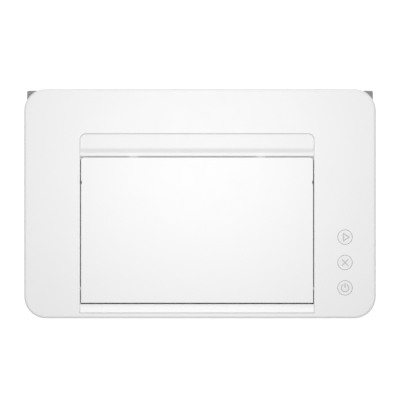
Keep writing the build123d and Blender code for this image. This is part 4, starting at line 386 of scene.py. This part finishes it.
def groups_of_faces(mesh, wanted):
    """The wanted faces' indices, in groups that share edges."""
    faces = [face for face in mesh.polygons if wanted(face)]
    by_edge = {}
    for face in faces:
        for key in face.edge_keys:
            by_edge.setdefault(key, []).append(face.index)
    joined = {face.index: {other for key in face.edge_keys for other in by_edge[key]} for face in faces}
    groups = []
    while joined:
        start = next(iter(joined))
        group, to_visit = {start}, [start]
        while to_visit:
            fresh = joined[to_visit.pop()] - group
            group |= fresh
            to_visit += fresh
        for index in group:
            joined.pop(index)
        groups.append(sorted(group))
    return groups


def paint_faces(piece, keys, wanted):
    """Paints each group of wanted faces with one of the listed materials in turn."""
    first = len(piece.data.materials)
    for key in keys:
        piece.data.materials.append(MATERIALS[key])
    for number, group in enumerate(groups_of_faces(piece.data, wanted)):
        for index in group:
            piece.data.polygons[index].material_index = first + number % len(keys)


def board_face(piece):
    """The X of a board's large outer face."""
    areas = {}
    for face in piece.data.polygons:
        if face.normal.x > FACING:
            x = round(face.center.x, 4)
            areas[x] = areas.get(x, 0.0) + face.area
    return max(areas, key=areas.get)


def is_ramp(face):
    """Whether a face belongs to the sloping strip in front of the flap."""
    near = face.center.y < LOW.y + RAMP_REACH and face.center.z > HIGH.z - RAMP_DEPTH
    return near and face.normal.z > RAMP_UP and face.normal.y > RAMP_BACK


def contact_test(box, half_size):
    """A test for the faces of the contacts in the middle of a socket that opens to the rear."""
    low, high = (Vector(corner) for corner in box)
    middle = (low + high) / 2

    def is_contact(face):
        near = abs(face.center.x - middle.x) < half_size[0] and abs(face.center.z - middle.z) < half_size[1]
        return near and low.y + INNER_MARGIN < face.center.y < high.y - MOUTH_MARGIN
    return is_contact


def paint_details():
    """Gives the parts of a node that are another substance their own material, and the tray's front slope a
    whiter copy of its plastic, a painted highlight.
    """
    nodes = frame["nodes"]
    for name, keys in BOARD_PARTS.items():
        face_x = board_face(nodes[name]) + PART_RISE
        paint_faces(nodes[name], keys, lambda face: face.center.x > face_x)
    # The tray's front slope gets the whiter copy of the plastic, a painted highlight
    paint_faces(nodes["output_tray"], ["tray_slope_painted_highlight"], is_ramp)
    paint_faces(nodes["power_inlet"], ["steel"], contact_test(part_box("power_inlet"), BLADES_HALF))
    paint_faces(nodes["usb_port"], ["connector"], contact_test(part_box("usb_port"), TONGUE_HALF))


# Pieces

def new_piece(name, points, faces, key, body):
    """A mesh in one material that moves with a body."""
    mesh = bpy.data.meshes.new(name)
    mesh.from_pydata(points, [], faces)
    mesh.update()
    piece = bpy.data.objects.new(name, mesh)
    bpy.context.scene.collection.objects.link(piece)
    mesh.materials.append(MATERIALS[key])
    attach(piece, body)


def stroke(path, closed):
    """A flat line of ink along a path of (x, y) points, as faces and corners, each a point and a level.

    The level is -1 on the underside and 1 on top.
    """
    count = len(path)
    corners = []
    for index, point in enumerate(path):
        before = path[index - 1] if closed or index else point
        after = path[(index + 1) % count] if closed or index < count - 1 else point
        steps = [(b - a).normalized() for a, b in ((before, point), (point, after)) if (b - a).length > 0]
        along = sum(steps, Vector((0, 0))).normalized()
        side = Vector((-along.y, along.x))
        reach = STROKE / 2 / max(LEAST_MITRE, abs(Vector((-steps[0].y, steps[0].x)).dot(side)))
        left, right = point + side * reach, point - side * reach
        corners += [(left, -1), (right, -1), (left, 1), (right, 1)]
    faces = []
    for index in range(count if closed else count - 1):
        a, b = 4 * index, 4 * ((index + 1) % count)
        faces += [(a + 2, a + 3, b + 3, b + 2), (a, b, b + 1, a + 1)]
        faces += [(a, a + 2, b + 2, b), (a + 1, b + 1, b + 3, a + 3)]
    if not closed:
        last = 4 * (count - 1)
        faces += [(0, 1, 3, 2), (last, last + 2, last + 3, last + 1)]
    return corners, faces


def icon(node, strokes):
    """An icon printed on top of a button."""
    low, high = (Vector(corner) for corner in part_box(node))
    centre = (low + high) / 2
    points, faces = [], []
    for number, (path, closed) in enumerate(strokes):
        corners, sides = stroke([Vector(point) for point in path], closed)
        faces += [tuple(len(points) + index for index in side) for side in sides]
        for flat, level in corners:
            z = high.z + level * INK_HEIGHT + number * INK_STEP
            points.append((centre.x + flat.x, centre.y + flat.y, z))
    body = next(body for body, nodes in frame["record"]["behaviour"]["bodies"].items() if node in nodes)
    new_piece(node + "_icon", points, faces, "ink", body)


def add_icons():
    """Power, cross and play, printed on the three buttons."""
    ring = []
    for step in range(ROUND_STEPS + 1):
        angle = math.radians(90 + RING_GAP_DEG + (360 - 2 * RING_GAP_DEG) * step / ROUND_STEPS)
        ring.append((RING_R * math.cos(angle), RING_R * math.sin(angle)))
    bar = [(0, BAR_TOP), (0, BAR_FOOT)]
    icon("power_button", [(ring, False), (bar, False)])
    rising = [(-CROSS_HALF, -CROSS_HALF), (CROSS_HALF, CROSS_HALF)]
    falling = [(-CROSS_HALF, CROSS_HALF), (CROSS_HALF, -CROSS_HALF)]
    icon("cancel_button", [(rising, False), (falling, False)])
    arrow = [(ARROW_BACK, -ARROW_HALF), (ARROW_TIP, 0), (ARROW_BACK, ARROW_HALF)]
    icon("resume_button", [(arrow, True)])


def add_spring():
    """The coil under the lift plate, ground flat at both ends."""
    low, high = (Vector(corner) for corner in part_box("lift_spring"))
    centre = (low + high) / 2
    height = high.z - low.z - 2 * SPRING_WIRE_R
    curve = bpy.data.curves.new("lift_coil_path", "CURVE")
    curve.dimensions = "3D"
    curve.bevel_depth = SPRING_WIRE_R
    curve.bevel_resolution = SPRING_BEVEL
    curve.use_fill_caps = True
    steps = SPRING_TURNS * SPRING_STEPS
    spline = curve.splines.new("POLY")
    spline.points.add(steps)
    for step in range(steps + 1):
        turn = step / SPRING_STEPS
        rise = min(max(turn - SPRING_FLAT_TURNS, 0.0) / (SPRING_TURNS - 2 * SPRING_FLAT_TURNS), 1.0)
        angle = 2 * math.pi * turn
        z = low.z + SPRING_WIRE_R + height * rise
        x = centre.x + SPRING_R * math.cos(angle)
        spline.points[step].co = (x, centre.y + SPRING_R * math.sin(angle), z, 1.0)
    shape = bpy.data.objects.new("lift_coil_shape", curve)
    bpy.context.scene.collection.objects.link(shape)
    bpy.context.view_layer.update()
    mesh = bpy.data.meshes.new_from_object(shape.evaluated_get(bpy.context.evaluated_depsgraph_get()))
    bpy.data.objects.remove(shape)
    piece = bpy.data.objects.new("lift_coil", mesh)
    bpy.context.scene.collection.objects.link(piece)
    mesh.materials.clear()
    mesh.materials.append(MATERIALS["steel"])
    for face in mesh.polygons:
        face.use_smooth = True
    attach(piece, "case")
    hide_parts("lift_spring")
    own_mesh(piece)


# Stage

def add_floor():
    """A pale floor that keeps the shadow. The camera, reflections and clear parts see it brighter."""
    bpy.ops.mesh.primitive_plane_add(size=FLOOR_SIZE, location=(0, 0, LOW.z - FLOOR_SINK))
    floor = bpy.context.object
    floor.name = "floor"
    look = Look("floor_paint", **{"Specular IOR Level": 0.1, "Emission Color": (1, 1, 1, 1)})
    patches = look.noise(FLOOR_PATCH, 4.0)
    base = look.mix(look.remap(patches, 0.3, 0.7), FLOOR_DARKER, FLOOR_PALER)
    rough = look.remap(patches, 0.3, 0.7, 0.8, 0.9)
    look.wear(base, rough, look.bump(look.noise(2 * MM, 3.0), 0.02 * MM))
    rays = look.node("ShaderNodeLightPath").outputs
    seen = look.math("MAXIMUM", rays["Is Camera Ray"], rays["Is Glossy Ray"])
    seen = look.math("MAXIMUM", seen, rays["Is Transmission Ray"])
    look.tree.links.new(look.math("MULTIPLY", seen, FLOOR_GLOW), look.shader.inputs["Emission Strength"])
    floor.data.materials.append(look.material)


def add_world():
    """Even light from all sides. The camera, reflections and clear parts see it brighter."""
    world = bpy.data.worlds.new("studio")
    bpy.context.scene.world = world
    world.use_nodes = True
    tree = world.node_tree
    tree.nodes.clear()
    background = tree.nodes.new("ShaderNodeBackground")
    output = tree.nodes.new("ShaderNodeOutputWorld")
    rays = tree.nodes.new("ShaderNodeLightPath")
    tree.links.new(background.outputs["Background"], output.inputs["Surface"])
    seen = rays.outputs["Is Camera Ray"]
    for name in ("Is Glossy Ray", "Is Transmission Ray"):
        either = tree.nodes.new("ShaderNodeMath")
        either.operation = "MAXIMUM"
        tree.links.new(seen, either.inputs[0])
        tree.links.new(rays.outputs[name], either.inputs[1])
        seen = either.outputs["Value"]
    strength = tree.nodes.new("ShaderNodeMapRange")
    strength.inputs["To Min"].default_value = WORLD_LIGHT
    strength.inputs["To Max"].default_value = SEEN_WORLD
    tree.links.new(seen, strength.inputs["Value"])
    tree.links.new(strength.outputs["Result"], background.inputs["Strength"])


def add_lamp(name, place, size, watts):
    """A square lamp that points at the origin."""
    light = bpy.data.lights.new(name, "AREA")
    light.size = size
    light.energy = watts
    lamp = bpy.data.objects.new(name, light)
    bpy.context.scene.collection.objects.link(lamp)
    lamp.location = place
    lamp.rotation_euler = (-Vector(place)).to_track_quat("-Z", "Y").to_euler()
    lamp.visible_camera = False


def add_camera():
    """The camera, with a long lens that sees SEEN_WIDTH of the top face's level."""
    data = bpy.data.cameras.new("photo_camera")
    data.sensor_width = SENSOR_WIDTH
    data.lens = SENSOR_WIDTH * CAMERA_ABOVE / SEEN_WIDTH
    camera = bpy.data.objects.new("photo_camera", data)
    bpy.context.scene.collection.objects.link(camera)
    camera.location = (0, CAMERA_Y, HIGH.z + CAMERA_ABOVE)
    bpy.context.scene.camera = camera


add_camera()
add_world()
add_floor()
add_lamp("overhead", *OVERHEAD_LAMP)
add_lamp("rear", *REAR_LAMP)
paint_nodes()
paint_details()
add_icons()
add_spring()
bpy.context.scene.view_settings.view_transform = "Standard"
